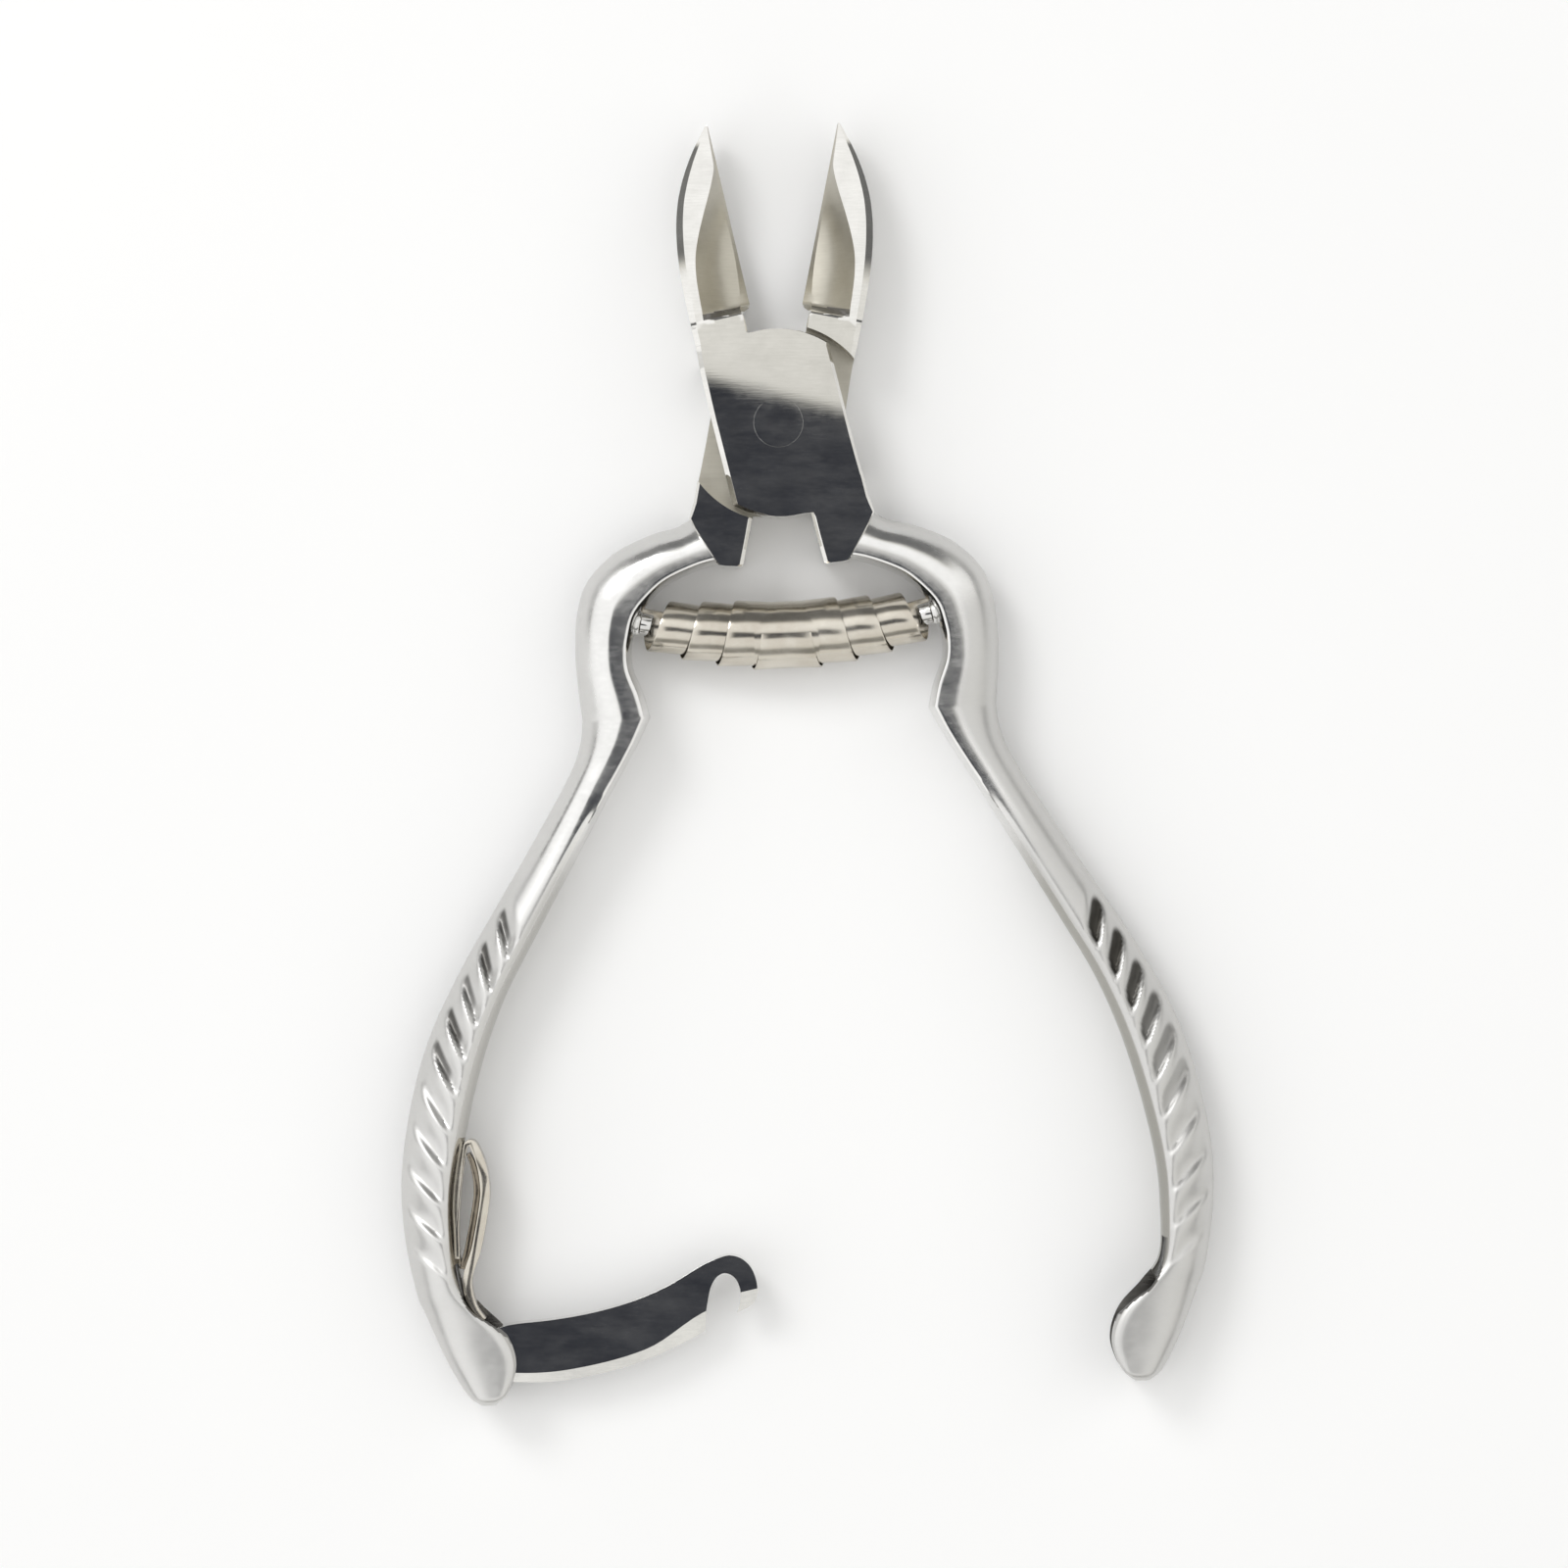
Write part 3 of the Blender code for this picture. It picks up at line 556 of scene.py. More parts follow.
def head_rings(side):
    """Sections from the tail's end to the jaw's point."""
    rings = [plate_ring(*row) for row in TAIL]
    for y in FOOT_ROWS:
        left = -min(PLATE_LEFT, math.sqrt(max(0.0, PLATE_RADIUS ** 2 - y * y)))
        chamfer = FOOT_CHAMFER + (PLATE_CHAMFER_LEFT - FOOT_CHAMFER) * smoothstep(-9.6, -8.7, y)
        rings.append(plate_ring(y, left, FOOT_RIGHT, chamfer, PLATE_CHAMFER_RIGHT))
    for y in SIDE_ROWS:
        left = -PLATE_LEFT + PLATE_FLARE * smoothstep(2.0, 7.0, y)
        right = PLATE_RIGHT + PLATE_FLARE * smoothstep(-4.0, -7.6, y)
        rings.append(plate_ring(y, left, right, PLATE_CHAMFER_LEFT, PLATE_CHAMFER_RIGHT))
    lean = math.sin(side * JAW_SET)
    narrowed, heel, heel_edge = PLATE_LEFT - PLATE_FLARE, JAW_HEEL[1], JAW_HEEL[6]
    for y in TOP_ROWS:
        left = -narrowed + (narrowed - heel + lean * y) * smoothstep(TOP_ROWS[0] - 0.3, TOP_ROWS[-1], y)
        right = min(PLATE_RIGHT, math.sqrt(PLATE_RADIUS ** 2 - y * y))
        rings.append(plate_ring(y, left, right, PLATE_CHAMFER_LEFT, EDGE_ROUND))
    for y in HEEL_ROWS:
        rings.append(plate_ring(y, lean * y - heel, lean * y - heel_edge, HEEL_CHAMFER, EDGE_ROUND))
    y = JAW_HEEL[0]
    while y < JAW_TIP[0]:
        rings.append(jaw_ring(y, side))
        y += FINE_STEP if y < FINE_END else COARSE_STEP
    rings.append(jaw_ring(JAW_TIP[0], side))
    return rings


def paint_hollow(bm, side):
    """Gives the ground hollow of the jaw its own finish, and the wall at its foot the dark slot finish,
    a painted band of shade.
    """
    bmesh.ops.recalc_face_normals(bm, faces=bm.faces[:])
    for face in bm.faces:
        middle = face.calc_center_median()
        if len(face.verts) != 4 or not WALL_FOOT <= middle.y <= HOLLOW_TIP:
            continue
        rim, bevel = graph(JAW, middle.y, 3), graph(JAW, middle.y, 4)
        across = math.sin(side * JAW_SET) * middle.y - middle.x
        above_wall = middle.y > WALL_TOP
        edge = HOLLOW_MARGIN if above_wall else bevel - 0.05
        upward = face.normal.z > 0.02 or middle.y < WALL_BEND
        if upward and edge < across < rim + HOLLOW_MARGIN and middle.z > CUT_EDGE_HIGH - HOLLOW_DEPTH:
            # Below the wall's top the faces get the dark slot finish, a painted shade.
            face.material_index = HEAD_FINISHES.index("ground" if above_wall else "slot")


def make_head(side, finishes):
    """Jaw, half of the lap joint and tail of one lever."""
    bm = loft(head_rings(side))
    paint_hollow(bm, side)
    skins = [finishes[name] for name in HEAD_FINISHES]
    name = f"{SIDE_NAME[side]}_jaw_and_plate"
    body = add_object(name, set_in_place(bm, side), skins, HEAD_SHARP)
    if side == FRONT:
        recess = cylinder(SHOULDER_RADIUS, -1.0, MIDDLE + JOINT_GAP, segments=192)
    else:
        recess = cylinder(SHOULDER_RADIUS, MIDDLE - JOINT_GAP, THICKNESS + 1.0, segments=192)
    cutter = add_object("joint_recess_cutter", recess, [finishes["ground"]])
    cut(body, [cutter], HEAD_SHARP)
    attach(body, LEVER[side])
    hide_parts(LEVER[side])


# ---------------------------------------------------------------- arch, grip and slotted end

# Edges of arch and handle, outer point then inner point, from the joint to the end: across is a
# share of HANDLE_SPREAD, down a share of the way from the joint to HANDLE_REACH.
HANDLE_EDGES = (
    (0.282, 0.015, 0.116, 0.056),
    (0.340, 0.028, 0.216, 0.068),
    (0.440, 0.041, 0.336, 0.091),
    (0.571, 0.067, 0.400, 0.115),
    (0.658, 0.102, 0.429, 0.133),
    (0.676, 0.139, 0.434, 0.153),
    (0.656, 0.180, 0.431, 0.168),
    (0.629, 0.209, 0.409, 0.188),
    (0.598, 0.236, 0.351, 0.212),
    (0.579, 0.253, 0.309, 0.235),
    (0.573, 0.282, 0.344, 0.269),
    (0.602, 0.319, 0.425, 0.332),
    (0.710, 0.403, 0.533, 0.421),
    (0.807, 0.474, 0.622, 0.495),
    (0.900, 0.544, 0.695, 0.559),
    (0.973, 0.618, 0.739, 0.626),
    (1.000, 0.693, 0.757, 0.698),
    (0.988, 0.770, 0.753, 0.767),
    (0.934, 0.833, 0.726, 0.817),
    (0.846, 0.892, 0.672, 0.870),
    (0.788, 0.916, 0.575, 0.894),
    (0.722, 0.942, 0.459, 0.916),
    (0.649, 0.968, 0.394, 0.946),
    (0.568, 0.991, 0.402, 0.978),
    (0.510, 0.999, 0.444, 0.995),
)
ARCH_CORNER = 9
STEPS = 12

# Upper half of the section: share of the width from the inner edge, share of the half thickness.
# The first five points are joined by straight lines, the others by a curve.
ARCH_SECTION = (
    (0.000, 0.00), (0.000, 0.30), (0.062, 0.905), (0.085, 0.985), (0.115, 1.000), (0.25, 1.000),
    (0.40, 0.992), (0.52, 0.955), (0.64, 0.885), (0.76, 0.770), (0.88, 0.580), (0.965, 0.320),
)
GRIP_SECTION = (
    (0.000, 0.00), (0.000, 0.22), (0.025, 0.450), (0.120, 0.860), (0.145, 0.925), (0.25, 1.000),
    (0.38, 0.985), (0.51, 0.930), (0.65, 0.835), (0.78, 0.690), (0.90, 0.480), (0.975, 0.240),
)
END_SECTION = (
    (0.000, 0.00), (0.000, 0.50), (0.012, 0.820), (0.035, 0.930), (0.070, 0.965), (0.17, 1.000),
    (0.34, 1.000), (0.52, 0.985), (0.68, 0.945), (0.81, 0.865), (0.92, 0.690), (0.98, 0.420),
)
STRAIGHT = 5
SECTION_STEPS = 3
END_RELIEF = 0.42
HANDLE_RELIEF = 0.12

# Rows between which the grip's sections are drawn closer, and how the handle's end is rounded off.
GRIP_ROWS = (11, 21)
GRIP_FINE = 3
END_ROWS = 0.9
END_THIN = 0.74
HANDLE_SHARP = 26.0

# Flutes of the grip: the first one's inner end, the pitch, the rise from inner to outer end, the
# share of the width where a flute's line starts and that it spans, how much of the pitch lies
# before that line and how much the steep wall takes, the depths, how strong the painted shade in
# each pocket is, and the shares of its depth that a flute keeps low on the outer side, downward and
# inward.
FLUTE_START = {FRONT: -61.3, REAR: -60.0}
FLUTE_PITCH = 3.75
FLUTE_RISE_FIRST = 4.0
FLUTE_RISE_LAST = 2.0
FLUTE_INNER = 0.24
FLUTE_SPAN = 0.56
FLUTE_LEAD = 0.62
FLUTE_STEEP = 0.30
FLUTE_DEPTHS = (0.80, 0.84, 0.82, 0.76, 0.66, 0.58, 0.56, 0.54, 0.50, 0.34)
FLUTE_POCKET_SHADES = {FRONT: (1.0, 1.0, 0.95, 0.80, 0.55, 0.30), REAR: (0.8, 0.9, 0.7, 0.9, 0.8)}
FLUTE_SIDE = 0.35
FLUTE_SIDE_CUT = 0.5


def handle_edges():
    """Outer and inner edge of arch and handle, from the joint to the end."""
    outer, inner = [], []
    for outer_across, outer_down, inner_across, inner_down in HANDLE_EDGES:
        outer.append((outer_across * HANDLE_SPREAD, -PLATE_RADIUS - outer_down * HANDLE_DROP))
        inner.append((inner_across * HANDLE_SPREAD, -PLATE_RADIUS - inner_down * HANDLE_DROP))
    before = smooth_line(inner[: ARCH_CORNER + 1], STEPS)
    after = smooth_line(inner[ARCH_CORNER:], STEPS)
    return smooth_line(outer, STEPS), before + after[1:]


def flute(side, y, across):
    """How deep the grip is cut at a height and a share of its width, and its share of painted pocket
    shade.
    """
    rise = FLUTE_RISE_FIRST + (FLUTE_RISE_LAST - FLUTE_RISE_FIRST) * smoothstep(70.0, 92.0, -y)
    line = FLUTE_START[side] + rise * (across - FLUTE_INNER) / FLUTE_SPAN
    along = (line - y) / FLUTE_PITCH + FLUTE_LEAD
    number = math.floor(along)
    if not 0 <= number < len(FLUTE_DEPTHS):
        return 0.0, 0.0
    place = along - number
    gentle = 1.0 - FLUTE_STEEP
    if place < gentle:
        shape = 0.5 - 0.5 * math.cos(math.pi * place / gentle)
    else:
        shape = 0.5 + 0.5 * math.cos(math.pi * (place - gentle) / FLUTE_STEEP)
    # The first flutes are shorter at both ends, the last ones run on to the outer edge.
    first = 1.0 - smoothstep(2.5, 6.5, number)
    inner_fade = smoothstep(0.13 + 0.09 * first, 0.42, across)
    outer_fade = 1.0 - smoothstep(0.74 - 0.06 * first, 1.0, across)
    share = shape * inner_fade * (outer_fade * 0.85 + 0.15 * (1.0 - first))
    # Painted shade darkens a pocket's deepest part, on the rear grip only beside the steep wall.
    pocket_shades = FLUTE_POCKET_SHADES[side]
    pocket_shade = pocket_shades[number] if number < len(pocket_shades) else 0.0
    if side == REAR:
        pocket_shade *= smoothstep(0.36, 0.50, across) * smoothstep(0.42, 0.56, place)
    return FLUTE_DEPTHS[number] * share, pocket_shade * smoothstep(0.26, 0.50, share)


def point_finish(side, across, share_down, grip, end):
    """Share of satin and of painted shade at a point of the handle.

    The arch is bright along its middle, the grip and the end are satin, the inner wall gets a painted
    shade.
    """
    inner = 1.0 - smoothstep(0.11, 0.15, across)
    rim = 0.85 * smoothstep(0.58, 0.82, across)
    shade = inner * smoothstep(0.36, 0.46, share_down) * (1.0 - end)
    if side == FRONT:
        outer = smoothstep(0.34, 0.50, across) * smoothstep(0.11, 0.15, share_down)
        return max(rim, outer, grip * (1.0 - 0.7 * inner), end), shade
    return max(rim, smoothstep(0.34, 0.46, share_down) * (1.0 - inner), end), shade


def handle_ring(side, out, into, share_down, rounding):
    """One section of the handle, and the finish and painted shade of each of its points."""
    grip = smoothstep(0.30, 0.42, share_down)
    end = smoothstep(0.87, 0.955, share_down)
    relief = HANDLE_RELIEF + (END_RELIEF - HANDLE_RELIEF) * smoothstep(0.80, 0.93, share_down)
    half = (MIDDLE - relief) * rounding
    profile = []
    for a, b, c in zip(ARCH_SECTION, GRIP_SECTION, END_SECTION):
        profile.append(Vector(a).lerp(Vector(b), grip).lerp(Vector(c), end))
    wall = profile[: STRAIGHT - 1]
    crown = smooth_line([*profile[STRAIGHT - 1 :], Vector((1.0, 0.0))], SECTION_STEPS)
    upper = []
    for across, height in wall[1:] + crown[:-1]:
        place = into.lerp(out, across)
        deep, pocket_shade = flute(side, place.y, across)
        rise = half * height - deep * (FLUTE_SIDE + (1.0 - FLUTE_SIDE) * height)
        place = place + (into - out).normalized() * deep * (1.0 - height) * FLUTE_SIDE_CUT
        shares = point_finish(side, across, share_down, grip, end)
        upper.append((place, rise, (*shares, pocket_shade)))
    ring = [(place.x, place.y, MIDDLE + rise) for place, rise, finish in upper]
    ring.append((out.x, out.y, MIDDLE))
    ring += [(place.x, place.y, MIDDLE - rise) for place, rise, finish in reversed(upper)]
    ring.append((into.x, into.y, MIDDLE))
    # Each point's share of satin, of painted shade on the inner wall and of painted shade in a flute
    # pocket.
    satin = [finish for place, rise, finish in upper]
    return ring, [*satin, satin[-1], *reversed(satin), satin[0]]


def handle_loft(side):
    """The handle's skin, its sections closer together along the grip."""
    outer, inner = handle_edges()
    pairs = []
    last = len(outer) - 1
    for i in range(last):
        fine = GRIP_FINE if GRIP_ROWS[0] * STEPS < i < GRIP_ROWS[1] * STEPS else 1
        for part in range(fine):
            t = part / fine
            pairs.append((i + t, outer[i].lerp(outer[i + 1], t), inner[i].lerp(inner[i + 1], t)))
    pairs.append((last, outer[last], inner[last]))
    rings, finishes = [], []
    for place, out, into in pairs:
        to_end = min(1.0, (last - place) / STEPS / END_ROWS)
        rounding = END_THIN + (1.0 - END_THIN) * math.sqrt(1.0 - (1.0 - to_end) ** 2)
        middle = (out + into) / 2
        share_down = (-middle.y - PLATE_RADIUS) / HANDLE_DROP
        ring, finish = handle_ring(side, out, into, share_down, rounding)
        rings.append(ring)
        finishes.append(finish)
    return loft(rings, finishes)


# ---------------------------------------------------------------- the slots at the handles' ends

LOCK_PIVOT = (0.502 * HANDLE_SPREAD, 5.2 - HANDLE_REACH)
CATCH_PIN = (0.490 * HANDLE_SPREAD, 6.1 - HANDLE_REACH)
HOOK_REACH = LOCK_PIVOT[0] + CATCH_PIN[0] + 0.1
LOCK_EYE = 2.6
SLOT_HALF = 1.80

# The lock's slot, from the lock's pin: room round the eye, where its floor starts across and how
# far that lies below the eye, and its wall. Then the catch's slot: its length past the hook's
# reach, the degrees it swings through and its floor, across from that reach and down from the pin.
EYE_ROOM = 0.2
LOCK_SLOT_FLOOR = (-2.0, -1.5)
LOCK_SLOT_WALL = ((4.8, 8.6), (3.6, 5.0))
CATCH_ROOM = 4.0
CATCH_SWING = 20.0
CATCH_FLOOR_START = -4.2
CATCH_FLOOR = ((-3.4, -3.8), (0.5, -2.9), (2.4, -2.6))

# The front cheek's edge where it is cut back, and the rest of that cut's outline, as drawn.
CHEEK_EDGE = ((18.3, -93.3), (17.2, -96.0), (15.7, -97.8), (13.5, -98.75), (11.2, -99.95))
CHEEK_BACK = ((10.0, -98.2), (13.0, -94.5), (17.2, -91.5))
CHEEK_FLOOR = MIDDLE + 1.2


def lock_slot():
    """Room for the lock's eye and its swing in the rear handle's end."""
    x, y = LOCK_PIVOT
    radius = LOCK_EYE + EYE_ROOM
    floor = y - radius + LOCK_SLOT_FLOOR[1]
    wall = [(x + across, y + up) for across, up in LOCK_SLOT_WALL]
    outline = arc(LOCK_PIVOT, radius, 60, -90, 24)
    outline += [(x + LOCK_SLOT_FLOOR[0], floor), (0.0, floor), (0.0, wall[0][1]), *wall]
    return prism(outline, MIDDLE - SLOT_HALF, MIDDLE + SLOT_HALF)


def catch_slot():
    """Room for the hook in the front handle's end."""
    x, y = -LOCK_PIVOT[0], LOCK_PIVOT[1]
    outline = [(0.0, y + CATCH_FLOOR_START)]
    outline += [(x + HOOK_REACH + across, y + up) for across, up in CATCH_FLOOR]
    outline += arc((x, y), HOOK_REACH + CATCH_ROOM, 0, CATCH_SWING, 24)
    outline.append((0.0, outline[-1][1]))
    return prism(outline, MIDDLE - SLOT_HALF, MIDDLE + SLOT_HALF)


def cheek_relief():
    """The front cheek's edge is cut back, which lets the slot and the back cheek show."""
    edge = [tuple(point) for point in smooth_line(CHEEK_EDGE, 6)]
    return prism([*edge, *CHEEK_BACK], CHEEK_FLOOR, THICKNESS + 1.0)


def make_handle(side, finishes):
    """Arch, grip and slotted end of one lever."""
    skin = finishes["grip_front" if side == FRONT else "grip_rear"]
    skins = [skin, finishes["slot"]]
    name = f"{SIDE_NAME[side]}_arch_and_grip"
    body = add_object(name, set_in_place(handle_loft(side), side), skins, HANDLE_SHARP)
    slot = lock_slot() if side == REAR else catch_slot()
    cutters = [
        # The slot's inner faces keep the dark slot finish, a painted shade.
        add_object("end_slot_cutter", set_in_place(slot, side), [finishes["slot"]]),
        add_object("cheek_relief_cutter", set_in_place(cheek_relief(), side), [skin]),
    ]
    cut(body, cutters, HANDLE_SHARP)
    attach(body, LEVER[side])
    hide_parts(LEVER[side])


# ---------------------------------------------------------------- posts, rivet and pins

# A post's profile: the distance from its root, which lies inside the arch, and the radius.
POST_DOWN = 0.137
POST_ROOT = 2.4
POST_PROFILE = (
    (0.0, 0.0), (0.0, 1.35), (2.5, 1.35), (2.75, 1.25), (2.9, 1.15), (3.95, 1.15), (4.05, 1.10),
    (4.12, 1.00), (4.12, 0.0),
)
RIVET_RADIUS = 2.6
RIVET_RISE = 0.006
PIN_INSET = 0.67
PIN_CHAMFER = (0.12, 0.15)
LOCK_PIN_RADIUS = 1.1
CATCH_PIN_RADIUS = 0.9


def post_foot():
    """Where a post stands on the arch's inner face."""
    inner = handle_edges()[1]
    height = -PLATE_RADIUS - POST_DOWN * HANDLE_DROP
    face = min(inner[: ARCH_CORNER * STEPS], key=lambda point: abs(point.y - height)).x
    return face, height


def turned_profile(profile, start, toward, segments=64):
    """Spins a profile of (distance along, radius) pairs about a line."""
    bm = bmesh.new()
    verts = [bm.verts.new((radius, 0.0, along)) for along, radius in profile]
    edges = [bm.edges.new(pair) for pair in zip(verts, verts[1:])]
    bmesh.ops.spin(
        bm, geom=verts + edges, cent=(0, 0, 0), axis=(0, 0, 1), angle=2 * math.pi,
        steps=segments, use_merge=True,
    )
    bmesh.ops.remove_doubles(bm, verts=bm.verts[:], dist=0.0005)
    line = Vector(toward) - Vector(start)
    turn = Vector((0, 0, 1)).rotation_difference(line).to_matrix().to_4x4()
    bmesh.ops.transform(bm, matrix=Matrix.Translation(start) @ turn, verts=bm.verts[:])
    return bm


def make_post(side, finishes):
    """The stub that one end of the spring is pushed over."""
    face, height = post_foot()
    name = f"{SIDE_NAME[side]}_spring_post"
    bm = turned_profile(POST_PROFILE, (face + POST_ROOT, height, MIDDLE), (face, height, MIDDLE))
    body = add_object(f"{name}_turned", set_in_place(bm, side), [finishes["arch"]])
    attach(body, LEVER[side])
    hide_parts(name)


def make_rivet(finishes):
    """The joint's rivet, ground flush with the plate."""
    top = THICKNESS + RIVET_RISE
    profile = (
        (0.0, 0.0), (0.0, RIVET_RADIUS - 0.06), (0.05, RIVET_RADIUS),
        (top - 0.008, RIVET_RADIUS), (top, RIVET_RADIUS - 0.015), (top, 0.0),
    )
    bm = turned_profile(profile, (0.0, 0.0, 0.0), (0.0, 0.0, 1.0), segments=128)
    body = add_object("joint_rivet_ground_flush", bm, [finishes["mirror"]], sharp=10.0)
    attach(body, "front_lever")
    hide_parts("joint_rivet")


def make_cross_pin(name, side, place, radius, finishes):
    """A pin across a slotted end, a little shorter than the end is thick."""
    length = THICKNESS - 2 * PIN_INSET
    down, across = PIN_CHAMFER
    profile = (
        (0.0, 0.0), (0.0, radius - across), (down, radius), (length - down, radius),
        (length, radius - across), (length, 0.0),
    )
    bm = turned_profile(profile, (*place, PIN_INSET), (*place, PIN_INSET + 1.0))
    body = add_object(f"{name}_turned", set_in_place(bm, side), [finishes["lock"]])
    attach(body, LEVER[side])
    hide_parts(name)


# ---------------------------------------------------------------- barrel spring

# The turns from the middle to an end, the rest of its length in pitches, the radii and how they
# taper, the gap to each arch, and the strip: thickness, tilt, width in pitches and narrowing.
SPRING_HALF_TURNS = 3.62
SPRING_END_TURNS = 0.75
SPRING_END_RADIUS = 2.48
SPRING_MIDDLE_RADIUS = 3.66
SPRING_TAPER = 1.3
SPRING_GAP = 0.85
SPRING_STEPS = 200
STEPS_PER_TURN = 64
STRIP_THICKNESS = 0.20
STRIP_TILT = 0.20
STRIP_OVERLAP = 1.28
STRIP_NARROWING = 0.30
HALVES_MEET = 0.05

# Strip's section: the share of its width along the coil and the rise from its outer face. Core,
# which closes the middle between the two halves: the share of its reach and the radius.
STRIP_SECTION = (
    (-0.5, 0.0), (0.0, 0.01), (0.465, 0.0), (0.5, -0.06),
    (0.5, -STRIP_THICKNESS), (-0.5, -STRIP_THICKNESS),
)
CORE_SECTION = ((-1, 3.2), (-1, 3.42), (0, 3.47), (1, 3.42), (1, 3.2), (-1, 3.2))
CORE_REACH = 0.9


def spring_line():
    """The coil's centre line, bowed between the two leaning posts."""
    face, height = post_foot()
    ends = []
    for side in (REAR, FRONT):
        start = open_point((face - SPRING_GAP, height), side)
        lean = open_point((face - 2.0, height), side) - open_point((face, height), side)
        ends.append((start, lean.normalized()))
    (a, lean_a), (d, lean_d) = ends
    third = (d - a).length / 3
    b, c = a + lean_a * third, d + lean_d * third
    line = []
    for i in range(SPRING_STEPS + 1):
        t = i / SPRING_STEPS
        u = 1 - t
        line.append(a * u ** 3 + b * 3 * t * u ** 2 + c * 3 * t * t * u + d * t ** 3)
    return line


def on_line(line, share):
    """Point and direction at a share of a line."""
    place = min(max(share, 0.0), 1.0) * (len(line) - 1)
    i = min(int(place), len(line) - 2)
    return line[i].lerp(line[i + 1], place - i), (line[i + 1] - line[i]).normalized()


def strip_ring(line, length, half, turns, width, pitch):
    """The strip's section after some turns out from the middle."""
    share = turns / SPRING_HALF_TURNS
    radius = SPRING_MIDDLE_RADIUS - (SPRING_MIDDLE_RADIUS - SPRING_END_RADIUS) * share ** SPRING_TAPER
    reach = half * pitch * (turns + HALVES_MEET)
    centre, along = on_line(line, 0.5 + reach / length)
    across = Vector((-along.y, along.x))
    angle = math.pi / 2 + 2 * math.pi * turns
    out = Vector((across.x * math.cos(angle), across.y * math.cos(angle), math.sin(angle)))
    ring = []
    for a, rise in STRIP_SECTION:
        shift = Vector((along.x, along.y, 0.0)) * (half * a * width)
        lifted = out * (radius + STRIP_TILT * a + rise)
        ring.append(Vector((centre.x, centre.y, MIDDLE)) + shift + lifted)
    return ring


def make_spring(finishes):
    """A flat strip wound from the middle out to both ends, each turn tucked under the last."""
    line = spring_line()
    length = sum((after - before).length for before, after in zip(line, line[1:]))
    count = int(SPRING_HALF_TURNS * STEPS_PER_TURN)
    pitch = length / (2 * SPRING_HALF_TURNS + SPRING_END_TURNS)
    pieces = bmesh.new()
    for half in (-1, 1):
        rings = []
        for i in range(count + 1):
            width = pitch * (STRIP_OVERLAP - STRIP_NARROWING * i / count)
            turns = SPRING_HALF_TURNS * i / count
            rings.append(strip_ring(line, length, half, turns, width, pitch))
        strip = loft(rings)
        bmesh.ops.recalc_face_normals(strip, faces=strip.faces[:])
        gather(pieces, strip)
    centre, along = on_line(line, 0.5)
    profile = [(share * CORE_REACH * pitch, radius) for share, radius in CORE_SECTION]
    toward = centre + along
    gather(pieces, turned_profile(profile, (*centre, MIDDLE), (*toward, MIDDLE)))
    body = add_object("barrel_spring_strip", pieces, [finishes["nickel"]], sharp=35.0)
    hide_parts("barrel_spring")
    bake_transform(body)


# ---------------------------------------------------------------- hook lock

LOCK_OPEN_TURN = 23.0
LOCK_THICKNESS = 3.3
LOCK_ROUNDING = 0.26
NOTCH_ROUNDING = 0.16
LOCK_EYE_HOLE = LOCK_PIN_RADIUS + 0.04

# The lock's edge about its pin, notch on +X, from below the eye round the hook and back above it.
LOCK_LOWER = ((1.0, -2.9), (5.4, -3.94), (9.6, -4.28), (13.9, -4.21), (18.2, -3.63), (22.7, -2.56))
LOCK_NOTCH = (
    (23.0, -1.5), (23.25, -0.6), (23.86, 0.9), (24.4, 2.0), (25.2, 2.85), (26.1, 3.08),
    (26.9, 2.55), (27.25, 1.7), (27.28, 0.8), (27.0, -0.3), (26.4, -1.39),
)
LOCK_HOOK = (
    (26.4, -1.39), (28.2, -0.85), (29.0, 0.3), (29.2, 1.7), (28.95, 3.1), (28.3, 4.1),
    (27.4, 4.7), (26.3, 4.85), (23.83, 4.4), (19.8, 3.1), (15.4, 2.35), (11.1, 2.2), (7.0, 2.45),
    (3.2, 2.9), (1.2, 2.85),
)

# The slope ground along the lower edge: where its line starts and ends, its width, how much wider
# it gets toward the hook, how far the cut goes past the edge and how deep it is there. Then the
# barb's slope: its upper edge, how far it goes down, its two ends and its steepness front and back.
SLOPE_START, SLOPE_END = (-4.0, -1.0), (24.5, -2.1)
SLOPE_WIDTH = 1.12
SLOPE_WIDENING = 0.95
SLOPE_PAST = 1.5
SLOPE_FALL = 1.25
BARB_TOP, BARB_FOOT = 0.75, -4.0
BARB_ENDS = (25.6, 31.0)
BARB_FALL_FRONT, BARB_FALL_BACK = 0.80, 0.50


def lock_outline():
    """The lock's whole outline, then the points of its upper edge and of its notch."""
    eye = arc((0.0, 0.0), LOCK_EYE, 110, 250, 12)
    lower = [tuple(point) for point in smooth_line(LOCK_LOWER, 6)]
    notch = [tuple(point) for point in smooth_line(LOCK_NOTCH, 4)]
    upper = [tuple(point) for point in smooth_line(LOCK_HOOK, 5)[1:]]
    return eye + lower + notch + upper, upper, notch


def edges_along(bm, points, height):
    """The edges of the face at a height that run along the given points."""
    wanted = {(round(x, 3), round(y, 3)) for x, y in points}
    found = []
    for edge in bm.edges:
        ends = [vert.co for vert in edge.verts]
        level = all(abs(end.z - height) < 0.001 for end in ends)
        if level and all((round(end.x, 3), round(end.y, 3)) in wanted for end in ends):
            found.append(edge)
    return found


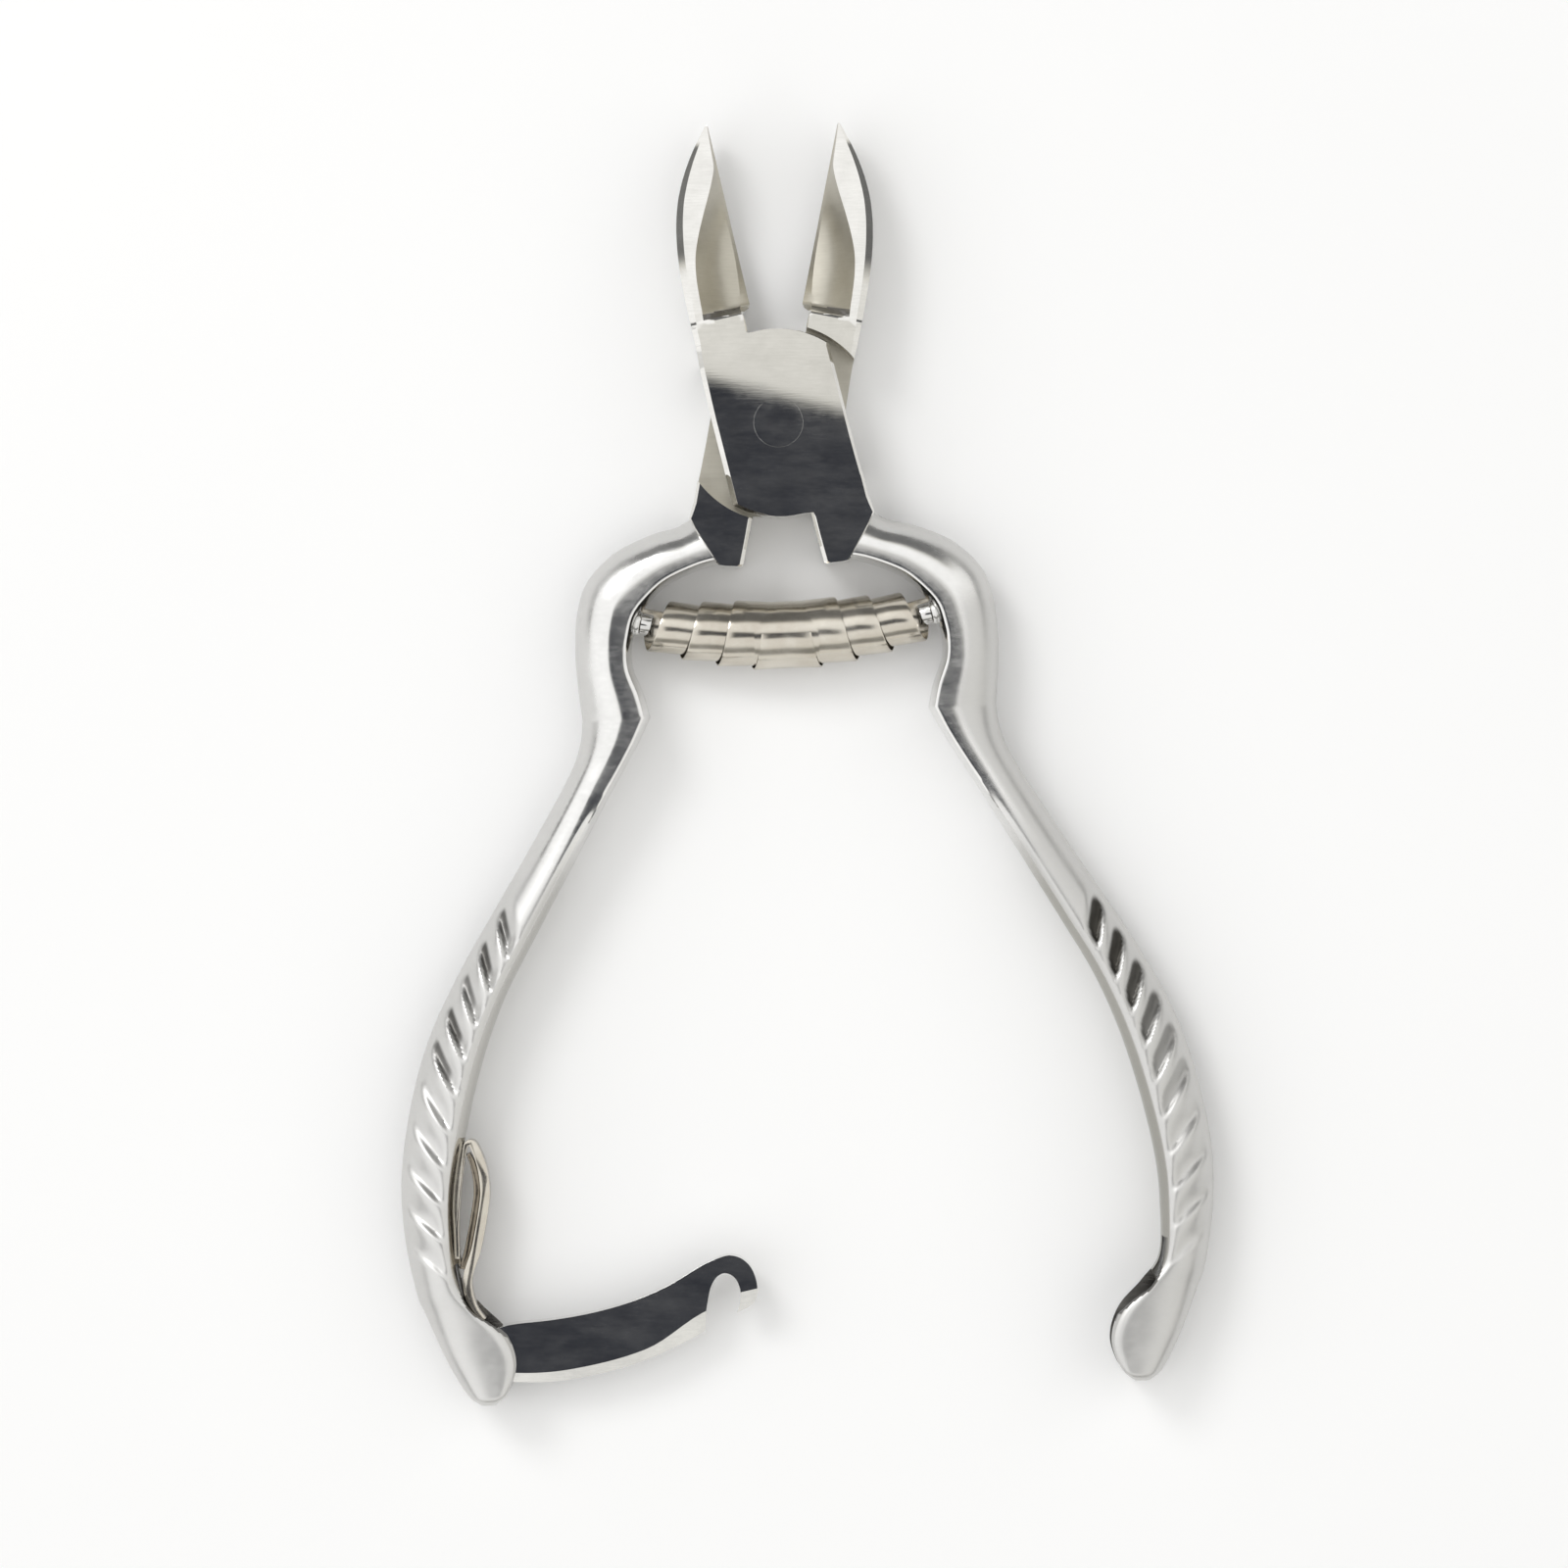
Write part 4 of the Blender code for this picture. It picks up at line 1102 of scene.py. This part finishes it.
def lock_slopes(face, away):
    """Cutters for the slope along the lock's lower edge and for the one at its barb."""
    beyond = face + away
    rings = []
    for x, y in smooth_line([SLOPE_START, *LOCK_LOWER, SLOPE_END], 4):
        width = SLOPE_WIDTH + SLOPE_WIDENING * smoothstep(16.0, 23.0, x)
        deepest = face - away * SLOPE_FALL * (width + SLOPE_PAST) / SLOPE_PAST
        top, foot = y + width, y - SLOPE_PAST
        rings.append([(x, top, face), (x, top, beyond), (x, foot, beyond), (x, foot, deepest)])
    fall = BARB_FALL_FRONT if away > 0 else BARB_FALL_BACK
    deepest = face - away * fall * (BARB_TOP - BARB_FOOT)
    barb = []
    for x in BARB_ENDS:
        barb.append([
            (x, BARB_TOP, face), (x, BARB_TOP, beyond), (x, BARB_FOOT, beyond), (x, BARB_FOOT, deepest),
        ])
    return loft(rings), loft(barb)


def make_lock(finishes):
    """The hook lock, turned to where it hangs while the levers are open."""
    outline, upper, notch = lock_outline()
    low, high = MIDDLE - LOCK_THICKNESS / 2, MIDDLE + LOCK_THICKNESS / 2
    bm = prism(outline, low, high)
    for height in (high, low):
        soften(bm, edges_along(bm, upper, height), LOCK_ROUNDING, 2)
        soften(bm, edges_along(bm, notch, height), NOTCH_ROUNDING, 1)
    turn = Matrix.Rotation(math.radians(LOCK_OPEN_TURN) + TURN[REAR], 3, "Z")
    place = open_point(LOCK_PIVOT, REAR)
    shapes = [bm, *lock_slopes(high, 1.0), *lock_slopes(low, -1.0)]
    for shape in shapes:
        bmesh.ops.rotate(shape, cent=(0, 0, 0), matrix=turn, verts=shape.verts[:])
        bmesh.ops.translate(shape, vec=(place.x, place.y, 0.0), verts=shape.verts[:])
    body = add_object("hook_lock", bm, [finishes["lock"]], sharp=20.0)
    cutters = [add_object("lock_slope_cutter", shape, [finishes["lock"]]) for shape in shapes[1:]]
    hole = cylinder(LOCK_EYE_HOLE, 0.0, THICKNESS, tuple(place), 64)
    # The eye's bore keeps the dark slot finish, a painted shade.
    cutters.append(add_object("lock_eye_cutter", hole, [finishes["slot"]]))
    cut(body, cutters, sharp=20.0)
    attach(body, "lock_lever")
    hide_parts("lock_lever")


# ---------------------------------------------------------------- folded leaf spring of the lock

LEAF_WIDTH = 3.0
LEAF_ROUNDING = 0.10

# Middle lines of the folded leaf as drawn: across, down and the thickness there.
OUTER_LEAF = (
    (18.2, -92.6, 0.5), (18.85, -89.5, 0.5), (19.22, -86.5, 0.5), (19.45, -83.5, 0.5),
    (19.5, -81.3, 0.5), (19.25, -80.45, 0.55), (18.6, -80.55, 0.8), (17.45, -82.4, 0.95),
    (16.7, -84.5, 1.0), (16.42, -86.6, 1.0), (16.42, -91.1, 1.0), (16.8, -94.6, 0.95),
    (15.8, -97.2, 0.9), (14.5, -98.6, 0.9),
)
INNER_LEAF = (
    (19.0, -81.5, 0.4), (18.35, -82.5, 0.6), (17.6, -84.4, 0.68), (17.3, -86.6, 0.68),
    (17.3, -91.0, 0.68), (17.55, -93.6, 0.6),
)
LEAF_TAB = ((18.6, -90.3, 0.2), (18.3, -91.8, 0.3), (17.9, -93.2, 0.4))


def leaf_layer(name, route, width, finish):
    """One layer of the leaf, its upper and lower rims rounded off."""
    line = smooth_line(route, 8)
    left, right = [], []
    for i, point in enumerate(line):
        along = (line[min(i + 1, len(line) - 1)] - line[max(i - 1, 0)]).to_2d().normalized()
        across = Vector((-along.y, along.x)) * point.z / 2
        left.append(tuple(point.to_2d() + across))
        right.append(tuple(point.to_2d() - across))
    bm = prism(left + right[::-1], MIDDLE - width / 2, MIDDLE + width / 2)
    flat = [face for face in bm.faces if abs(face.normal.z) > 0.9]
    soften(bm, list({edge for face in flat for edge in face.edges}), LEAF_ROUNDING)
    body = add_object(name, set_in_place(bm, REAR), [finish], sharp=35.0)
    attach(body, "rear_lever")
    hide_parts("lock_spring")


def make_lock_spring(finishes):
    """The leaf that holds the lock: its long fold, the shorter one inside and the tab."""
    leaf_layer("lock_spring_outer_leaf", OUTER_LEAF, LEAF_WIDTH, finishes["nickel"])
    leaf_layer("lock_spring_inner_leaf", INNER_LEAF, LEAF_WIDTH - 0.5, finishes["leaf"])
    leaf_layer("lock_spring_tab", LEAF_TAB, LEAF_WIDTH - 0.6, finishes["leaf"])


# ---------------------------------------------------------------- stage

WORLD_STRENGTH = 1.23
WORLD_COLOURS = (
    (0.0, (0.008, 0.011, 0.022)), (0.35, (0.29, 0.288, 0.275)),
    (0.72, (0.70, 0.69, 0.655)), (1.0, (1.0, 1.0, 1.0)),
)
LENS = 152.0
CAMERA_PLACE = (0.0006, -0.0380, 0.7042)
KEY_PLACE, KEY_TARGET = (-0.55, 0.60, 0.85), (0.0, -0.03, 0.0)
KEY_SIZE = 0.45
KEY_POWER = 3.0
FLOOR_SIZE = 2500.0
FLOOR_DROP = 0.02


def make_world():
    """Soft white light all round, with the dark of the room straight above the table."""
    world = bpy.data.worlds.new("soft_tent")
    bpy.context.scene.world = world
    world.use_nodes = True
    n = Nodes(world.node_tree)
    split = n.add("ShaderNodeSeparateXYZ")
    n.link(n.add("ShaderNodeTexCoord").outputs["Generated"], split.inputs[0])
    x, y, z = split.outputs

    # How far a direction leans from straight up, across the table and along it.
    height = n.math("MAXIMUM", z, 0.02)
    slope_x = n.math("DIVIDE", x, height)
    slope_y = n.math("DIVIDE", y, height)
    sideways = n.math("ABSOLUTE", slope_x)

    # The dark of the room, which ends at a straight leaning edge, and the dusk past that edge.
    edge = n.math("MULTIPLY_ADD", slope_x, -0.25, 0.0585)
    past_edge = n.math("SUBTRACT", slope_y, edge)
    below_edge = n.step(past_edge, -0.0015, 0.0015, 1.0, 0.0)
    room = n.math(
        "MULTIPLY", n.step(sideways, 0.20, 0.26, 1.0, 0.0),
        n.math("MULTIPLY", n.step(slope_y, -0.30, -0.20), below_edge),
    )
    dusk = n.math(
        "MULTIPLY", n.step(sideways, 0.14, 0.24, 1.0, 0.0),
        n.band(past_edge, (-0.004, 0.0), (0.012, 0.10)),
    )

    # Greyer walls at the table's far and near end and at its corners, by compass direction.
    flat = n.math("SUBTRACT", 1.0, n.math("MULTIPLY", z, z))
    toward = n.math("DIVIDE", y, n.math("SQRT", n.math("MAXIMUM", flat, 0.001)))
    far_wall = n.math("MULTIPLY", n.step(toward, 0.70, 0.84), n.band(z, (0.05, 0.14), (0.66, 0.84)))
    near_wall = n.math(
        "MULTIPLY", n.step(toward, -0.86, -0.74, 1.0, 0.0), n.band(z, (0.26, 0.34), (0.56, 0.70)),
    )
    far_corner = n.band(toward, (0.0, 0.12), (0.72, 0.84))
    near_corner = n.band(toward, (-0.80, -0.72), (-0.26, -0.18))
    corners = n.math(
        "MULTIPLY", n.math("MAXIMUM", far_corner, near_corner), n.band(z, (0.03, 0.07), (0.24, 0.30)),
    )
    shady_side = n.step(n.math("MULTIPLY_ADD", y, -0.6, n.math("MULTIPLY", x, 0.8)), -0.35, 0.9)

    light = 1.0
    for patch, share in (
        (room, 0.97), (dusk, 0.22), (far_wall, 0.84), (near_wall, 0.62), (corners, 0.80),
        (shady_side, 0.18),
    ):
        light = n.math("MULTIPLY", light, n.math("SUBTRACT", 1.0, n.math("MULTIPLY", patch, share)))
    back = world.node_tree.nodes["Background"]
    n.link(n.ramp(light, WORLD_COLOURS), back.inputs["Color"])
    back.inputs["Strength"].default_value = WORLD_STRENGTH


def make_stage():
    """White paper that reaches far past the edges of the view."""
    bm = bmesh.new()
    bmesh.ops.create_grid(bm, x_segments=2, y_segments=2, size=FLOOR_SIZE)
    bmesh.ops.translate(bm, vec=(0.0, 0.0, -FLOOR_DROP), verts=bm.verts[:])
    paper = bpy.data.materials.new("white_paper")
    paper.use_nodes = True
    n = Nodes(paper.node_tree)
    shader = paper.node_tree.nodes["Principled BSDF"]
    place = n.add("ShaderNodeTexCoord").outputs["Object"]
    white = n.ramp(n.noise(place, 6.0), ((0.3, (0.93, 0.93, 0.93)), (0.7, (0.95, 0.95, 0.95))))
    n.link(white, shader.inputs["Base Color"])
    shader.inputs["Roughness"].default_value = 0.9
    shader.inputs["Specular IOR Level"].default_value = 0.0
    floor = add_object("paper_floor", bm, [paper])


def add_light(name, place, target, size, power):
    """A round soft lamp that points at a target."""
    lamp = bpy.data.lights.new(name, "AREA")
    lamp.shape = "DISK"
    lamp.size = size
    lamp.energy = power
    made = bpy.data.objects.new(name, lamp)
    made.location = place
    made.rotation_euler = (Vector(target) - Vector(place)).to_track_quat("-Z", "Y").to_euler()
    bpy.context.scene.collection.objects.link(made)


def make_camera():
    """A long lens straight above the tool."""
    lens = bpy.data.cameras.new("camera")
    lens.sensor_width = 36.0
    lens.lens = LENS
    lens.clip_start = 0.01
    made = bpy.data.objects.new("camera", lens)
    made.location = CAMERA_PLACE
    bpy.context.scene.collection.objects.link(made)
    bpy.context.scene.camera = made
    bpy.context.scene.view_settings.view_transform = "Standard"


def build():
    make_camera()
    make_world()
    make_stage()
    add_light("soft_key", KEY_PLACE, KEY_TARGET, KEY_SIZE, KEY_POWER)
    finishes = make_finishes()
    for side in (FRONT, REAR):
        make_head(side, finishes)
        make_handle(side, finishes)
        make_post(side, finishes)
    make_rivet(finishes)
    make_cross_pin("lock_pivot_pin", REAR, LOCK_PIVOT, LOCK_PIN_RADIUS, finishes)
    make_cross_pin("catch_pin", FRONT, CATCH_PIN, CATCH_PIN_RADIUS, finishes)
    make_spring(finishes)
    make_lock(finishes)
    make_lock_spring(finishes)


build()
